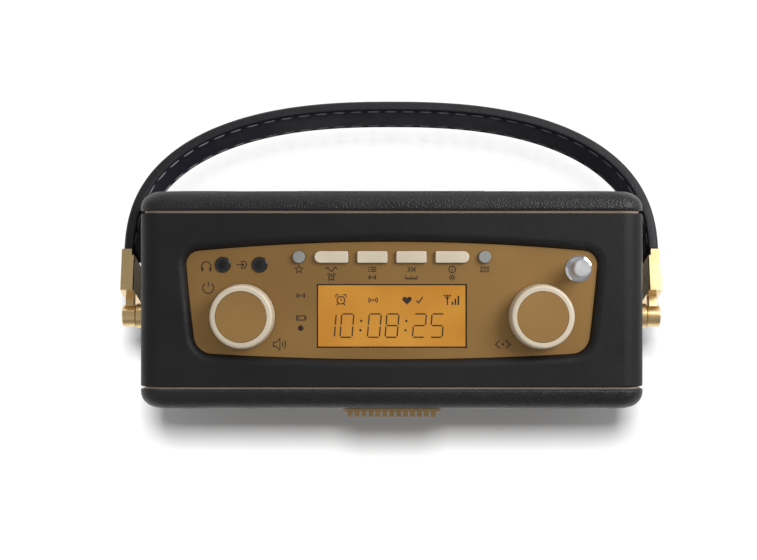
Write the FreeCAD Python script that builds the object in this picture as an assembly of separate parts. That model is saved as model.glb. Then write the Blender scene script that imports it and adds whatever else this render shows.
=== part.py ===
"""Tabletop radio in a padded leathercloth case, built as separate pieces.

Millimetres, +Z up, front towards -Y. The origin is the centre of the foot ring, on the
surface that the radio stands on. The handle lies folded back, the aerial is stowed.
"""
import FreeCAD, Part
import math
import os

from FreeCAD import Placement, Rotation, Vector

# ---------------------------------------------------------------- overall sizes
CASE_WIDTH = 205.0            # outside, left to right
CASE_HEIGHT = 113.0           # outside, without the foot ring
SLEEVE_DEPTH = 70.2           # wooden sleeve, front edge to rear edge
PANEL_THICK = 8.0             # padded front and rear panels
PIPING_WIDTH = 1.2            # strip between the sleeve and a panel
FOOT_HEIGHT = 3.0

# ---------------------------------------------------------------- case
COVER = 0.8                   # leathercloth skin
WALL = 6.0                    # wood
CASE_CORNER = 9.0             # rounding along the four long edges
COVER_EDGE = 0.5              # rounding of the skin beside the piping groove
PIPING_INSET = 1.7            # how deep the strip sits below the skin
PIPING_DEPTH = 3.4
PANEL_ROUND = 7.0             # padded edge of the front and rear panels
PADDING = 3.0                 # padding in front of and around the baffle
CORNER_BLOCK = 13.0
CORNER_BLOCK_LENGTH = 10.5
FOOT_LENGTH = 176.0
FOOT_DEPTH = 60.0
FOOT_RING_WIDTH = 8.0
FOOT_ROUND = 9.0

# ---------------------------------------------------------------- control panel well
WELL_DEPTH = 3.0
WELL_TOP_MIDDLE = 23.8        # rear edge of the well at its middle
WELL_TOP_CORNER = (83.9, 19.6)
WELL_BOTTOM_MIDDLE = -24.2
WELL_BOTTOM_CORNER = (79.6, -21.6)
WELL_SIDE_BULGE = 0.3
WELL_TOP_RADIUS = 5.6
WELL_BOTTOM_RADIUS = 8.0
WELL_LIP = 3.4                # soft rounding of the leathercloth into the well
PANEL_GAP = 0.2               # between the panel and the leathercloth
PANEL_SHEET = 2.0
PANEL_FLANGE = 2.0            # thickness of the flange under the wood
PANEL_FLANGE_WIDTH = 4.6

# ---------------------------------------------------------------- knobs and encoders
KNOB_X = 60.5
KNOB_Y = -6.7
KNOB_RADIUS = 13.2
KNOB_TAPER = 0.6              # a knob is this much narrower at its top
KNOB_HEIGHT = 8.0
KNOB_LIFT = 1.0               # gap under the knob's skirt
KNOB_WALL = 1.6
KNOB_HUB = 5.0
KNOB_EDGE = 1.1
KNOB_RIM = 2.25               # cream ring around the disc
INSERT_THICK = 1.0
INSERT_SINK = 0.2
INSERT_GAP = 0.05
SHAFT_RADIUS = 3.0
SHAFT_FLAT = 2.2              # distance of the shaft's flat from its axis
PUSH_TRAVEL = 0.6
RUNNING_GAP = 0.05            # radial clearance of every running fit
ENCODER_WIDTH = 12.4
ENCODER_DEPTH = 13.2
ENCODER_BODY = 6.0
BUSHING_RADIUS = 4.5
PLUNGER_RADIUS = 4.8

# ---------------------------------------------------------------- keys
KEY_Y = 17.4
KEY_DEPTH = 4.8
KEY_PROUD = 1.7
KEY_TRAVEL = 1.0
KEY_GAP = 0.15
KEY_LIP = 0.8                 # width of the flange that keeps a key in
KEY_CORNER = 0.6
KEY_EDGE = 0.35
END_KEY_X = 24.5
END_KEY_WIDTH = 13.7
MID_KEY_X = 7.9
MID_KEY_WIDTH = 12.3
ROUND_KEY_X = 37.65
ROUND_KEY_RADIUS = 2.5
STEM_RADIUS = 1.7
SWITCH_SIZE = 6.0
SWITCH_HEIGHT = 3.8
SWITCH_FLOOR = 1.2

# ---------------------------------------------------------------- display
DISPLAY_WIDTH = 61.0
DISPLAY_DEPTH = 26.0
DISPLAY_Y = -6.5
LENS_GAP = 0.1
LENS_FLANGE = 2.0
LENS_SINK = 0.2
GLASS_THICK = 3.0

# ---------------------------------------------------------------- sockets, lamp
SOCKET_X = (-68.5, -53.6)
SOCKET_Y = 14.3
SOCKET_RING = 3.2
SOCKET_BORE = 1.8
SOCKET_LENGTH = 14.0
SOCKET_BODY = 8.0
SOCKET_PROUD = 0.7
LAMP_PLACE = (-36.9, -11.4)
LAMP_RADIUS = 1.1

# ---------------------------------------------------------------- aerial
AERIAL_X = 75.7
AERIAL_Y = 12.6
AERIAL_TUBES = (3.25, 2.80, 2.35)      # outside radii of the telescoping tubes
AERIAL_WALL = 0.4
AERIAL_FLOOR = 4.0                     # closed foot of each tube
ROD_RADIUS = 1.90
TIP_RADIUS = 3.5
TIP_HEIGHT = 11.0
COLLAR_RADIUS = 5.4
COLLAR_STEP = 4.4
COLLAR_PROUD = 1.6
GUIDE_WALL = 1.2
GUIDE_BORE = 3.7

# ---------------------------------------------------------------- boards
BOARD_THICK = 1.6
BOARD_DROP = 13.0             # panel underside down to the control board
BOARD_HALF_WIDTH = 81.0
BOARD_REAR = 21.0
BOARD_FRONT = -22.0
POST_X = 46.0
POST_Y = (-18.0, 8.0)
POST_RADIUS = 3.0
SCREW_RADIUS = 1.4
SCREW_HEAD = 2.5
SCREW_HEAD_THICK = 1.6
SCREW_LENGTH = 6.0

# ---------------------------------------------------------------- loudspeaker
SPEAKER_Z = 52.0
SPEAKER_RADIUS = 38.0
SPEAKER_FLANGE = 1.8
BASKET_DEPTH = 20.0
MAGNET_RADIUS = 24.0
MAGNET_DEPTH = 14.0
CONE_RADIUS = 29.0
CONE_NECK = 9.0
CONE_DEPTH = 12.0
CONE_THICK = 0.8
CONE_TRAVEL = 0.8
SURROUND_WIDTH = 4.0

# ---------------------------------------------------------------- front
WINDOW_WIDTH = 168.0
WINDOW_HEIGHT = 80.0
WINDOW_Z = 56.0
WINDOW_ROUND = 5.0
CLOTH = 0.6
GRILLE_SHEET = 0.8
GRILLE_RIM = 1.4
GRILLE_GAP = 0.3
SLOT_ROWS = 15
SLOT_COLUMNS = 3
SLOT_HEIGHT = 2.6
SLOT_LENGTH = 50.0
BAR_LENGTH = 40.0
BAR_HEIGHT = 7.0
BAR_PROUD = 3.6
BAR_BASE = 1.2
BAR_RIBS = 13

# ---------------------------------------------------------------- rear
BAY_WIDTH = 62.0              # four AA cells side by side
BAY_BOTTOM = 24.0
BAY_HEIGHT = 58.0
BAY_DEPTH = 17.0
BOX_WALL = 2.0
DOOR_THICK = 2.4
DOOR_GAP = 0.3
DOOR_RIB_GAP = 0.3            # between the cover's locating rib and the bay
DOOR_RIB_WALL = 1.2
DOOR_RIB_HEIGHT = 1.6
FLANGE_WIDTH = 3.0
FLANGE_PROUD = 1.2
STEP_WIDTH = 3.2
RIM_WALL = 1.2
DC_STEP = 7.1                 # power socket's centre, out from the main board's face
DC_Z = 27.0
DC_BORE = 2.75
DC_PIN = 1.0
DC_NECK = 4.4
DC_LENGTH = 10.0
MAIN_BOARD_GAP = 7.0          # between the battery box and the main board
REAR_SCREW_SIDE = 14.5        # from the case's side
REAR_SCREW_END = 15.0         # from its top and bottom
REAR_SCREW_DEPTH = 9.0        # thread in the wood

# ---------------------------------------------------------------- handle
PIVOT_Y = -7.0
PIVOT_Z = 84.0
HANDLE_FOLD = 105.0           # degrees back from upright
STRAP_INSET = 0.2             # how far the strap's face lies inside the clasp's
LEG_SHORT = 19.3              # the legs start to curve this much closer than the rear face
ARCH_RISE = 68.5
ARCH_POWER = 2.45             # squareness of the arch's curve
ARCH_SPANS = 8                # pairs of tangent arcs that follow the curve
STRAP_WIDTH = 22.0
STRAP_THICK = 4.0
STRAP_EDGE = 2.0
LINING_THICK = 1.0
LINING_WIDTH = 19.6
TONGUE_START = 10.5
TONGUE_ROOT = 6.0             # the legs are drawn from this far below the clasp's mouth
TONGUE_WIDTH = 20.0
TONGUE_THICK = 3.0
CLASP_GAP = 5.3               # between the case's side and a clasp
CLASP_THICK = 5.6
CLASP_LEAF = 1.2
CLASP_HALF_WIDTH = 12.0
CLASP_FOOT = 8.2
CLASP_END = 26.0
CLASP_SHORT_LEAF = 23.3
KNUCKLE_RADIUS = 4.6
NECK_HALF_WIDTH = 3.0
BOSS_GAP = 0.3                # between a boss and the clasp on its screw
BOSS_RADIUS = 5.2
PLATE_THICK = 1.5
PLATE_HALF_WIDTH = 7.0
PLATE_HALF_HEIGHT = 13.0
SHOULDER_RADIUS = 2.6
BOLT_HEAD = 3.6
BOLT_THREAD = 1.9

# ---------------------------------------------------------------- places worked out
HALF = CASE_WIDTH / 2
BOTTOM = FOOT_HEIGHT
TOP = FOOT_HEIGHT + CASE_HEIGHT
SLEEVE = SLEEVE_DEPTH / 2
PANEL_BACK = SLEEVE + PIPING_WIDTH               # inner face of a padded panel
FACE = PANEL_BACK + PANEL_THICK                  # outer face of a padded panel
BOARD_BOTTOM = TOP - COVER - WALL                # underside of the wooden top
PANEL_TOP = TOP - WELL_DEPTH
PANEL_UNDER = PANEL_TOP - PANEL_SHEET
BOARD_TOP = PANEL_UNDER - BOARD_DROP
BAFFLE_FRONT = PANEL_BACK + PANEL_THICK - PADDING
GRILLE_BACK = BAFFLE_FRONT + CLOTH
KEY_TOP = PANEL_TOP + KEY_PROUD
GUIDE_FLOOR = BOTTOM + COVER + WALL + 1.0
COLLAR_TOP = PANEL_TOP + COLLAR_PROUD
COLLAR_BOTTOM = PANEL_TOP - 7.0
BAY_TOP = BAY_BOTTOM + BAY_HEIGHT
DOOR_FACE = FACE + FLANGE_PROUD
DOOR_BACK = DOOR_FACE - DOOR_THICK
BAY_MOUTH = DOOR_BACK - 0.1
BAY_FLOOR = BAY_MOUTH - BAY_DEPTH
KNOB_TOP_RADIUS = KNOB_RADIUS - KNOB_TAPER
INSERT_RADIUS = KNOB_TOP_RADIUS - KNOB_RIM
ARCH_START = FACE - LEG_SHORT                    # from the pivot to where the legs curve
MAIN_BOARD_X = -(BAY_WIDTH / 2 + BOX_WALL + MAIN_BOARD_GAP)
DC_X = MAIN_BOARD_X - DC_STEP
REAR_SCREW_X = HALF - REAR_SCREW_SIDE
REAR_SCREW_Z = (BOTTOM + REAR_SCREW_END, TOP - REAR_SCREW_END)
CLASP_INNER = HALF + CLASP_GAP
CLASP_OUTER = CLASP_INNER + CLASP_THICK
ARCH_HALF_WIDTH = CLASP_OUTER - STRAP_INSET
BOSS_END = CLASP_INNER - BOSS_GAP
X_AXIS = Vector(1, 0, 0)
Y_AXIS = Vector(0, 1, 0)
Z_AXIS = Vector(0, 0, 1)


# ================================================================ helpers
def box(x0, x1, y0, y1, z0, z1):
    """A box between two corners."""
    return Part.makeBox(x1 - x0, y1 - y0, z1 - z0, Vector(x0, y0, z0))


def rod(radius, start, end):
    """A round bar from one point to another."""
    start, end = Vector(*start), Vector(*end)
    along = end - start
    return Part.makeCylinder(radius, along.Length, start, along)


def post(radius, x, y, z0, z1):
    """A vertical round bar."""
    return rod(radius, (x, y, z0), (x, y, z1))


def fuse(shapes):
    """One solid from several."""
    shapes = list(shapes)
    return shapes[0].multiFuse(shapes[1:]).removeSplitter()


def group(shapes):
    """Separate solids kept together in one file."""
    return Part.makeCompound(list(shapes))


def mirrored(shape):
    """The same piece on the other side of the radio."""
    return shape.mirror(Vector(0, 0, 0), X_AXIS)


def edges_along(shape, axis):
    """Straight edges parallel to an axis."""
    found = []
    for edge in shape.Edges:
        if edge.Curve.TypeId == "Part::GeomLine":
            if abs(edge.tangentAt(edge.FirstParameter).dot(axis)) > 0.999:
                found.append(edge)
    return found


def edges_in_plane(shape, axis, place):
    """Edges that lie in the plane across an axis at a place."""
    low = {"x": "XMin", "y": "YMin", "z": "ZMin"}[axis]
    high = {"x": "XMax", "y": "YMax", "z": "ZMax"}[axis]
    found = []
    for edge in shape.Edges:
        bounds = edge.BoundBox
        if abs(getattr(bounds, low) - place) < 0.01 and abs(getattr(bounds, high) - place) < 0.01:
            found.append(edge)
    return found


def rounded_box(x0, x1, y0, y1, z0, z1, axis, radius):
    """A box whose four edges along one axis are rounded."""
    block = box(x0, x1, y0, y1, z0, z1)
    return block.makeFillet(radius, edges_along(block, axis))


def case_block(inset, y0, y1):
    """The case's outline, drawn in by an inset, between two depths."""
    return rounded_box(-HALF + inset, HALF - inset, y0, y1, BOTTOM + inset, TOP - inset,
                       Y_AXIS, max(CASE_CORNER - inset, 0.5))


def turned(profile, origin, axis):
    """A ring or disc turned from (radius, height) points about an axis."""
    side = X_AXIS if abs(axis.x) < 0.5 else Z_AXIS
    points = [origin + side * radius + axis * height for radius, height in profile]
    wire = Part.makePolygon(points + [points[0]])
    return Part.Face(wire).revolve(origin, axis, 360)


# ================================================================ well and control panel
def well_edge(x, middle, corner):
    """Depth of the well's curved front or rear edge at a place across it."""
    half, end = corner
    rise = middle - end
    radius = (half ** 2 + rise ** 2) / (2 * abs(rise))
    drop = radius - math.sqrt(radius ** 2 - x ** 2)
    return middle - math.copysign(drop, rise)


def circle_through(start, middle, end):
    """Centre and radius of the circle through three points."""
    circle = Part.Arc(start, middle, end).toShape().Curve
    return circle.Center, circle.Radius


def corner_centre(first, second, radius, near):
    """Centre of the arc of a radius that rounds the corner between two curved sides."""
    (c1, r1), (c2, r2) = first, second
    r1, r2 = r1 - radius, r2 - radius
    gap = (c2 - c1).Length
    along = (gap ** 2 + r1 ** 2 - r2 ** 2) / (2 * gap)
    unit = (c2 - c1) / gap
    across = Vector(-unit.y, unit.x, 0) * math.sqrt(r1 ** 2 - along ** 2)
    foot = c1 + unit * along
    return min((foot + across, foot - across), key=lambda point: (point - near).Length)


def well_frame():
    """The well's four side circles and four corner circles, all bulging outwards."""
    tx, ty = WELL_TOP_CORNER
    bx, by = WELL_BOTTOM_CORNER
    side_x, side_y = (tx + bx) / 2 + WELL_SIDE_BULGE, (ty + by) / 2
    corners = [Vector(-tx, ty, 0), Vector(tx, ty, 0), Vector(bx, by, 0), Vector(-bx, by, 0)]
    middles = [Vector(0, WELL_TOP_MIDDLE, 0), Vector(side_x, side_y, 0),
               Vector(0, WELL_BOTTOM_MIDDLE, 0), Vector(-side_x, side_y, 0)]
    sides = [circle_through(corners[i], middles[i], corners[(i + 1) % 4]) for i in range(4)]
    radii = [WELL_TOP_RADIUS, WELL_TOP_RADIUS, WELL_BOTTOM_RADIUS, WELL_BOTTOM_RADIUS]
    rounds = [(corner_centre(sides[i - 1], sides[i], radii[i], corners[i]), radii[i])
              for i in range(4)]
    return sides, rounds


WELL_SIDES, WELL_ROUNDS = well_frame()


def touch_point(side, corner, grow):
    """Where a side and a corner arc meet, once both are moved outwards."""
    away = (corner[0] - side[0]).normalize()
    return corner[0] + away * (corner[1] + grow)


def arc_between(centre, radius, start, end):
    """The shorter arc about a centre from one point to another."""
    middle = ((start - centre) + (end - centre)).normalize()
    return Part.Arc(start, centre + middle * radius, end).toShape()


def well_prism(grow, z0, z1):
    """The well's outline, grown or shrunk, between two heights."""
    edges = []
    for i in range(4):
        side, corner, following = WELL_SIDES[i], WELL_ROUNDS[i], WELL_ROUNDS[(i + 1) % 4]
        before = touch_point(WELL_SIDES[i - 1], corner, grow)
        start = touch_point(side, corner, grow)
        end = touch_point(side, following, grow)
        edges.append(arc_between(corner[0], corner[1] + grow, before, start))
        edges.append(arc_between(side[0], side[1] + grow, start, end))
    wire = Part.Wire(edges)
    wire.translate(Vector(0, 0, z0))
    return Part.Face(wire).extrude(Vector(0, 0, z1 - z0))


def flange_screw_places():
    """Where the panel's six flange screws go, just outside the well."""
    out = PANEL_FLANGE_WIDTH / 2 + 0.3
    places = []
    for x in (-60.0, 0.0, 60.0):
        places.append((x, well_edge(x, WELL_TOP_MIDDLE, WELL_TOP_CORNER) + out))
        places.append((x, well_edge(x, WELL_BOTTOM_MIDDLE, WELL_BOTTOM_CORNER) - out))
    return places


# ================================================================ case pieces
def case_outer(inset):
    """The sleeve as a solid block with the well cut through its top and a soft lip."""
    block = case_block(inset, -SLEEVE, SLEEVE)
    block = block.cut(well_prism(inset, BOARD_BOTTOM - 1, TOP + 1))
    lip = [edge for edge in edges_in_plane(block, "z", TOP - inset)
           if abs(edge.BoundBox.YMin) < SLEEVE - 1 and abs(edge.BoundBox.XMin) < HALF - 4]
    return block.makeFillet(WELL_LIP - inset, lip)


def cavity():
    """The room inside the wooden sleeve."""
    return case_block(COVER + WALL, -SLEEVE - 1, SLEEVE + 1)


def corner_blocks():
    """Glue blocks in the sleeve's rear corners that take the rear screws."""
    inner = HALF - COVER - WALL
    blocks = []
    for side in (-1, 1):
        x0, x1 = sorted((side * (inner - CORNER_BLOCK), side * inner))
        floor = BOTTOM + COVER + WALL
        y0 = SLEEVE - CORNER_BLOCK_LENGTH
        blocks.append(box(x0, x1, y0, SLEEVE, floor, floor + CORNER_BLOCK))
        blocks.append(box(x0, x1, y0, SLEEVE, BOARD_BOTTOM - CORNER_BLOCK, BOARD_BOTTOM))
    return blocks


def rear_screw_places():
    """Centres of the four rear screws."""
    return [(side * REAR_SCREW_X, z) for side in (-1, 1) for z in REAR_SCREW_Z]


def make_case():
    """Wooden sleeve and the leathercloth around it."""
    wood_block = case_outer(COVER)
    wood = fuse([wood_block.cut(cavity())] + corner_blocks())
    for x, y in flange_screw_places():
        wood = wood.cut(post(SCREW_RADIUS, x, y, BOARD_BOTTOM - 1, BOARD_BOTTOM + 4.0))
    for x, z in rear_screw_places():
        wood = wood.cut(rod(SCREW_RADIUS, (x, SLEEVE - REAR_SCREW_DEPTH - 0.5, z),
                            (x, SLEEVE + 1, z)))
    cover = case_outer(0.0)
    rims = edges_in_plane(cover, "y", SLEEVE) + edges_in_plane(cover, "y", -SLEEVE)
    cover = cover.makeFillet(COVER_EDGE, rims)
    inside = case_block(COVER, -SLEEVE - 1, SLEEVE + 1)
    inside = inside.cut(box(-HALF, HALF, -SLEEVE - 2, SLEEVE + 2, BOARD_BOTTOM, TOP + 1))
    cover = cover.cut(wood_block.fuse([cavity(), inside]))
    return {"cabinet_shell": wood, "cabinet_cover": cover}


def make_piping():
    """Two strips in the grooves between the sleeve and the padded panels."""
    strips = []
    for y0 in (-PANEL_BACK, SLEEVE):
        y1 = y0 + PIPING_WIDTH
        outer = case_block(PIPING_INSET, y0, y1)
        inner = case_block(PIPING_INSET + PIPING_DEPTH, y0 - 1, y1 + 1)
        rims = edges_in_plane(outer, "y", y0) + edges_in_plane(outer, "y", y1)
        strips.append(outer.makeFillet(PIPING_WIDTH * 0.42, rims).cut(inner))
    return group(strips)


def padded_block(sign):
    """A padded panel: the case outline with its outer edge well rounded."""
    y0, y1 = sorted((sign * PANEL_BACK, sign * FACE))
    block = case_block(0.0, y0, y1)
    block = block.makeFillet(PANEL_ROUND, edges_in_plane(block, "y", sign * FACE))
    return block


def make_front():
    """Padded surround, baffle, grille cloth, grille and the ribbed bar."""
    half_w, half_h = WINDOW_WIDTH / 2, WINDOW_HEIGHT / 2
    window = rounded_box(-half_w, half_w, -FACE - 1, -PANEL_BACK + 1,
                         WINDOW_Z - half_h, WINDOW_Z + half_h, Y_AXIS, WINDOW_ROUND)
    baffle = case_block(PADDING, -BAFFLE_FRONT, -PANEL_BACK)
    surround = padded_block(-1).cut(baffle).cut(window)
    hole = rod(SPEAKER_RADIUS - 3.0, (0, -FACE, SPEAKER_Z), (0, 0, SPEAKER_Z))
    baffle = baffle.cut(hole)
    for x, z in speaker_screw_places():
        baffle = baffle.cut(rod(SCREW_RADIUS, (x, -PANEL_BACK - 4.2, z), (x, -PANEL_BACK + 1, z)))
    cloth = rounded_box(-half_w + GRILLE_GAP, half_w - GRILLE_GAP, -GRILLE_BACK, -BAFFLE_FRONT,
                        WINDOW_Z - half_h + GRILLE_GAP, WINDOW_Z + half_h - GRILLE_GAP,
                        Y_AXIS, WINDOW_ROUND - GRILLE_GAP)
    return {"front_surround": surround, "front_baffle": baffle, "grille_cloth": cloth,
            "speaker_grille": make_grille(half_w - GRILLE_GAP, half_h - GRILLE_GAP),
            "badge_bar": make_bar()}


def make_grille(half_w, half_h):
    """Slotted metal sheet with a folded rim that stands on the cloth."""
    front = -GRILLE_BACK - GRILLE_RIM
    tray = rounded_box(-half_w, half_w, front, -GRILLE_BACK, WINDOW_Z - half_h,
                       WINDOW_Z + half_h, Y_AXIS, WINDOW_ROUND - GRILLE_GAP)
    inner = rounded_box(-half_w + GRILLE_SHEET, half_w - GRILLE_SHEET, front + GRILLE_SHEET,
                        -GRILLE_BACK + 1, WINDOW_Z - half_h + GRILLE_SHEET,
                        WINDOW_Z + half_h - GRILLE_SHEET, Y_AXIS, WINDOW_ROUND - 2)
    slots = []
    row_pitch = (2 * half_h - 4) / SLOT_ROWS
    column_pitch = (2 * half_w - 4) / SLOT_COLUMNS
    for row in range(SLOT_ROWS):
        z = WINDOW_Z + (row - (SLOT_ROWS - 1) / 2) * row_pitch
        for column in range(SLOT_COLUMNS):
            x = (column - (SLOT_COLUMNS - 1) / 2) * column_pitch
            slots.append(box(x - SLOT_LENGTH / 2, x + SLOT_LENGTH / 2, front - 1, front + 2,
                             z - SLOT_HEIGHT / 2, z + SLOT_HEIGHT / 2))
    return tray.cut(inner).cut(group(slots))


def make_bar():
    """Brass bar on the front: a flat base with a row of upright ribs and no lettering."""
    z1 = TOP - PANEL_ROUND - 0.5
    z0 = z1 - BAR_HEIGHT
    half = BAR_LENGTH / 2
    base = rounded_box(-half, half, -FACE - BAR_BASE, -FACE, z0, z1, Y_AXIS, 1.5)
    ribs = []
    pitch = (BAR_LENGTH - 3.0) / BAR_RIBS
    for index in range(BAR_RIBS):
        x = (index - (BAR_RIBS - 1) / 2) * pitch
        rib = box(x - pitch * 0.34, x + pitch * 0.34, -FACE - BAR_PROUD, -FACE - BAR_BASE + 0.2,
                  z0 + 0.8, z1 - 0.8)
        ribs.append(rib.makeFillet(0.5, edges_in_plane(rib, "y", -FACE - BAR_PROUD)))
    return fuse([base] + ribs)


def make_foot_ring():
    """One-piece rubber ring under the case."""
    half_l, half_d = FOOT_LENGTH / 2, FOOT_DEPTH / 2
    outer = rounded_box(-half_l, half_l, -half_d, half_d, 0, FOOT_HEIGHT, Z_AXIS, FOOT_ROUND)
    width = FOOT_RING_WIDTH
    inner = rounded_box(-half_l + width, half_l - width, -half_d + width, half_d - width,
                        -1, FOOT_HEIGHT + 1, Z_AXIS, FOOT_ROUND - width / 2)
    ring = outer.cut(inner)
    return ring.makeFillet(0.6, edges_in_plane(ring, "z", 0))


# ================================================================ control panel pieces
def key_plan(x, width, ends, grow, z0, z1):
    """A key's plan shape: oblong, with one end round where it closes the row."""
    half_w, half_d = width / 2 + grow, KEY_DEPTH / 2 + grow
    if ends == 0:
        block = box(x - half_w, x + half_w, KEY_Y - half_d, KEY_Y + half_d, z0, z1)
        return block.makeFillet(KEY_CORNER + grow / 2, edges_along(block, Z_AXIS))
    tip = x + ends * (half_w - half_d)
    body = box(min(x - ends * half_w, tip), max(x - ends * half_w, tip),
               KEY_Y - half_d, KEY_Y + half_d, z0, z1)
    corners = [edge for edge in edges_along(body, Z_AXIS)
               if abs(edge.BoundBox.XMin - (x - ends * half_w)) < 0.01]
    body = body.makeFillet(KEY_CORNER + grow / 2, corners)
    return fuse([body, post(half_d, tip, KEY_Y, z0, z1)])


def round_key_plan(x, grow, z0, z1):
    """A round key's plan shape."""
    return post(ROUND_KEY_RADIUS + grow, x, KEY_Y, z0, z1)


def key_shapes():
    """Each key's name and the function that draws its plan."""
    keys = {
        "favourite_button": (-ROUND_KEY_X, None, 0),
        "mode_button": (-END_KEY_X, END_KEY_WIDTH, -1),
        "menu_button": (-MID_KEY_X, MID_KEY_WIDTH, 0),
        "tune_button": (MID_KEY_X, MID_KEY_WIDTH, 0),
        "info_button": (END_KEY_X, END_KEY_WIDTH, 1),
        "preset_button": (ROUND_KEY_X, None, 0),
    }
    return keys


def plan_of(key, grow, z0, z1):
    """The prism of one key, grown by a margin."""
    x, width, ends = key
    if width is None:
        return round_key_plan(x, grow, z0, z1)
    return key_plan(x, width, ends, grow, z0, z1)


def make_keys():
    """Six keys, each with a flange under the panel and a stem down to its switch."""
    pieces = {}
    flange_top = PANEL_UNDER - 0.1
    stem_end = BOARD_TOP + SWITCH_HEIGHT - SWITCH_FLOOR
    for name, key in key_shapes().items():
        cap = plan_of(key, 0.0, flange_top - 0.5, KEY_TOP)
        cap = cap.makeFillet(KEY_EDGE, edges_in_plane(cap, "z", KEY_TOP))
        flange = plan_of(key, KEY_LIP, flange_top - 1.2, flange_top)
        stem = post(STEM_RADIUS, key[0], KEY_Y, stem_end, flange_top - 1.0)
        pieces[name] = fuse([cap, flange, stem])
    return pieces


def make_switches():
    """Six switches on the control board, each with a well for the key's stem."""
    half = SWITCH_SIZE / 2
    floor = BOARD_TOP + SWITCH_FLOOR
    switches = []
    for x, _, _ in key_shapes().values():
        body = box(x - half, x + half, KEY_Y - half, KEY_Y + half, BOARD_TOP,
                   BOARD_TOP + SWITCH_HEIGHT)
        switches.append(body.cut(post(STEM_RADIUS + 0.2, x, KEY_Y, floor, BOARD_TOP + 9)))
    return group(switches)


def window_block(grow, z0, z1):
    """The display window's outline between two heights."""
    half_w, half_d = DISPLAY_WIDTH / 2 + grow, DISPLAY_DEPTH / 2 + grow
    return box(-half_w, half_w, DISPLAY_Y - half_d, DISPLAY_Y + half_d, z0, z1)


def make_control_panel():
    """Moulded panel with a flange under the wood, screw posts and all its openings."""
    flange_low = BOARD_BOTTOM - PANEL_FLANGE
    plate = well_prism(-PANEL_GAP, flange_low, PANEL_TOP)
    flange = well_prism(PANEL_FLANGE_WIDTH, flange_low, BOARD_BOTTOM)
    pocket = well_prism(-PANEL_GAP - PANEL_SHEET, flange_low - 1, PANEL_UNDER)
    panel = fuse([plate, flange]).cut(pocket)
    posts = [post(POST_RADIUS, side * POST_X, y, BOARD_TOP, PANEL_UNDER + 0.5)
             for side in (-1, 1) for y in POST_Y]
    panel = fuse([panel] + posts)
    through = (PANEL_UNDER - 1, PANEL_TOP + 1)
    cuts = [window_block(0.0, *through)]
    cuts += [plan_of(key, KEY_GAP, *through) for key in key_shapes().values()]
    cuts += [post(SHAFT_RADIUS + 0.8, side * KNOB_X, KNOB_Y, *through) for side in (-1, 1)]
    cuts += [post(SOCKET_RING + 0.05, x, SOCKET_Y, *through) for x in SOCKET_X]
    cuts += [post(COLLAR_STEP + 0.05, AERIAL_X, AERIAL_Y, *through)]
    cuts += [post(LAMP_RADIUS + 0.05, *LAMP_PLACE, *through)]
    cuts += [post(SCREW_RADIUS, side * POST_X, y, BOARD_TOP - 1, BOARD_TOP + SCREW_LENGTH + 0.5)
             for side in (-1, 1) for y in POST_Y]
    cuts += [post(SCREW_RADIUS + 0.2, x, y, flange_low - 1, BOARD_BOTTOM + 1)
             for x, y in flange_screw_places()]
    return panel.cut(group(cuts))


def make_display():
    """Clear window flanged under the panel, and the display module below it."""
    lens = fuse([window_block(-LENS_GAP, PANEL_UNDER - 0.5, PANEL_TOP - LENS_SINK),
                 window_block(LENS_FLANGE, PANEL_UNDER - 1.0, PANEL_UNDER)])
    glass_top = PANEL_UNDER - 1.3
    glass = window_block(1.0, glass_top - GLASS_THICK, glass_top)
    frame = window_block(3.0, BOARD_TOP, glass_top - GLASS_THICK)
    return {"display_window": lens, "display_module": fuse([glass, frame])}


def make_sockets():
    """Two 3.5 mm sockets: a round mouth through the panel on a square body."""
    pieces = {}
    mouth = PANEL_TOP + SOCKET_PROUD
    half = SOCKET_BODY / 2
    for name, x in zip(("headphone_socket", "line_in_socket"), SOCKET_X):
        body = box(x - half, x + half, SOCKET_Y - half, SOCKET_Y + half, BOARD_TOP,
                   PANEL_UNDER - 0.2)
        ring = post(SOCKET_RING, x, SOCKET_Y, PANEL_UNDER - 1, mouth)
        ring = ring.makeFillet(0.4, edges_in_plane(ring, "z", mouth))
        bore = post(SOCKET_BORE, x, SOCKET_Y, mouth - SOCKET_LENGTH, mouth + 1)
        pieces[name] = fuse([body, ring]).cut(bore)
    return pieces


def make_lamp():
    """Low-battery lamp: a clear pin through the panel with a flange under it."""
    x, y = LAMP_PLACE
    pin = post(LAMP_RADIUS, x, y, BOARD_TOP, PANEL_TOP + 0.2)
    pin = pin.makeFillet(0.3, edges_in_plane(pin, "z", PANEL_TOP + 0.2))
    return fuse([pin, post(LAMP_RADIUS + 0.7, x, y, PANEL_UNDER - 1.2, PANEL_UNDER)])


# ================================================================ knobs
def shaft_section(radius, x, z0, z1):
    """A round bar with one flat, as the knob's bore takes it."""
    bar = post(radius, x, KNOB_Y, z0, z1)
    flat = box(x - 9, x + 9, KNOB_Y + SHAFT_FLAT, KNOB_Y + 9, z0 - 1, z1 + 1)
    return bar.cut(flat)


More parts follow.
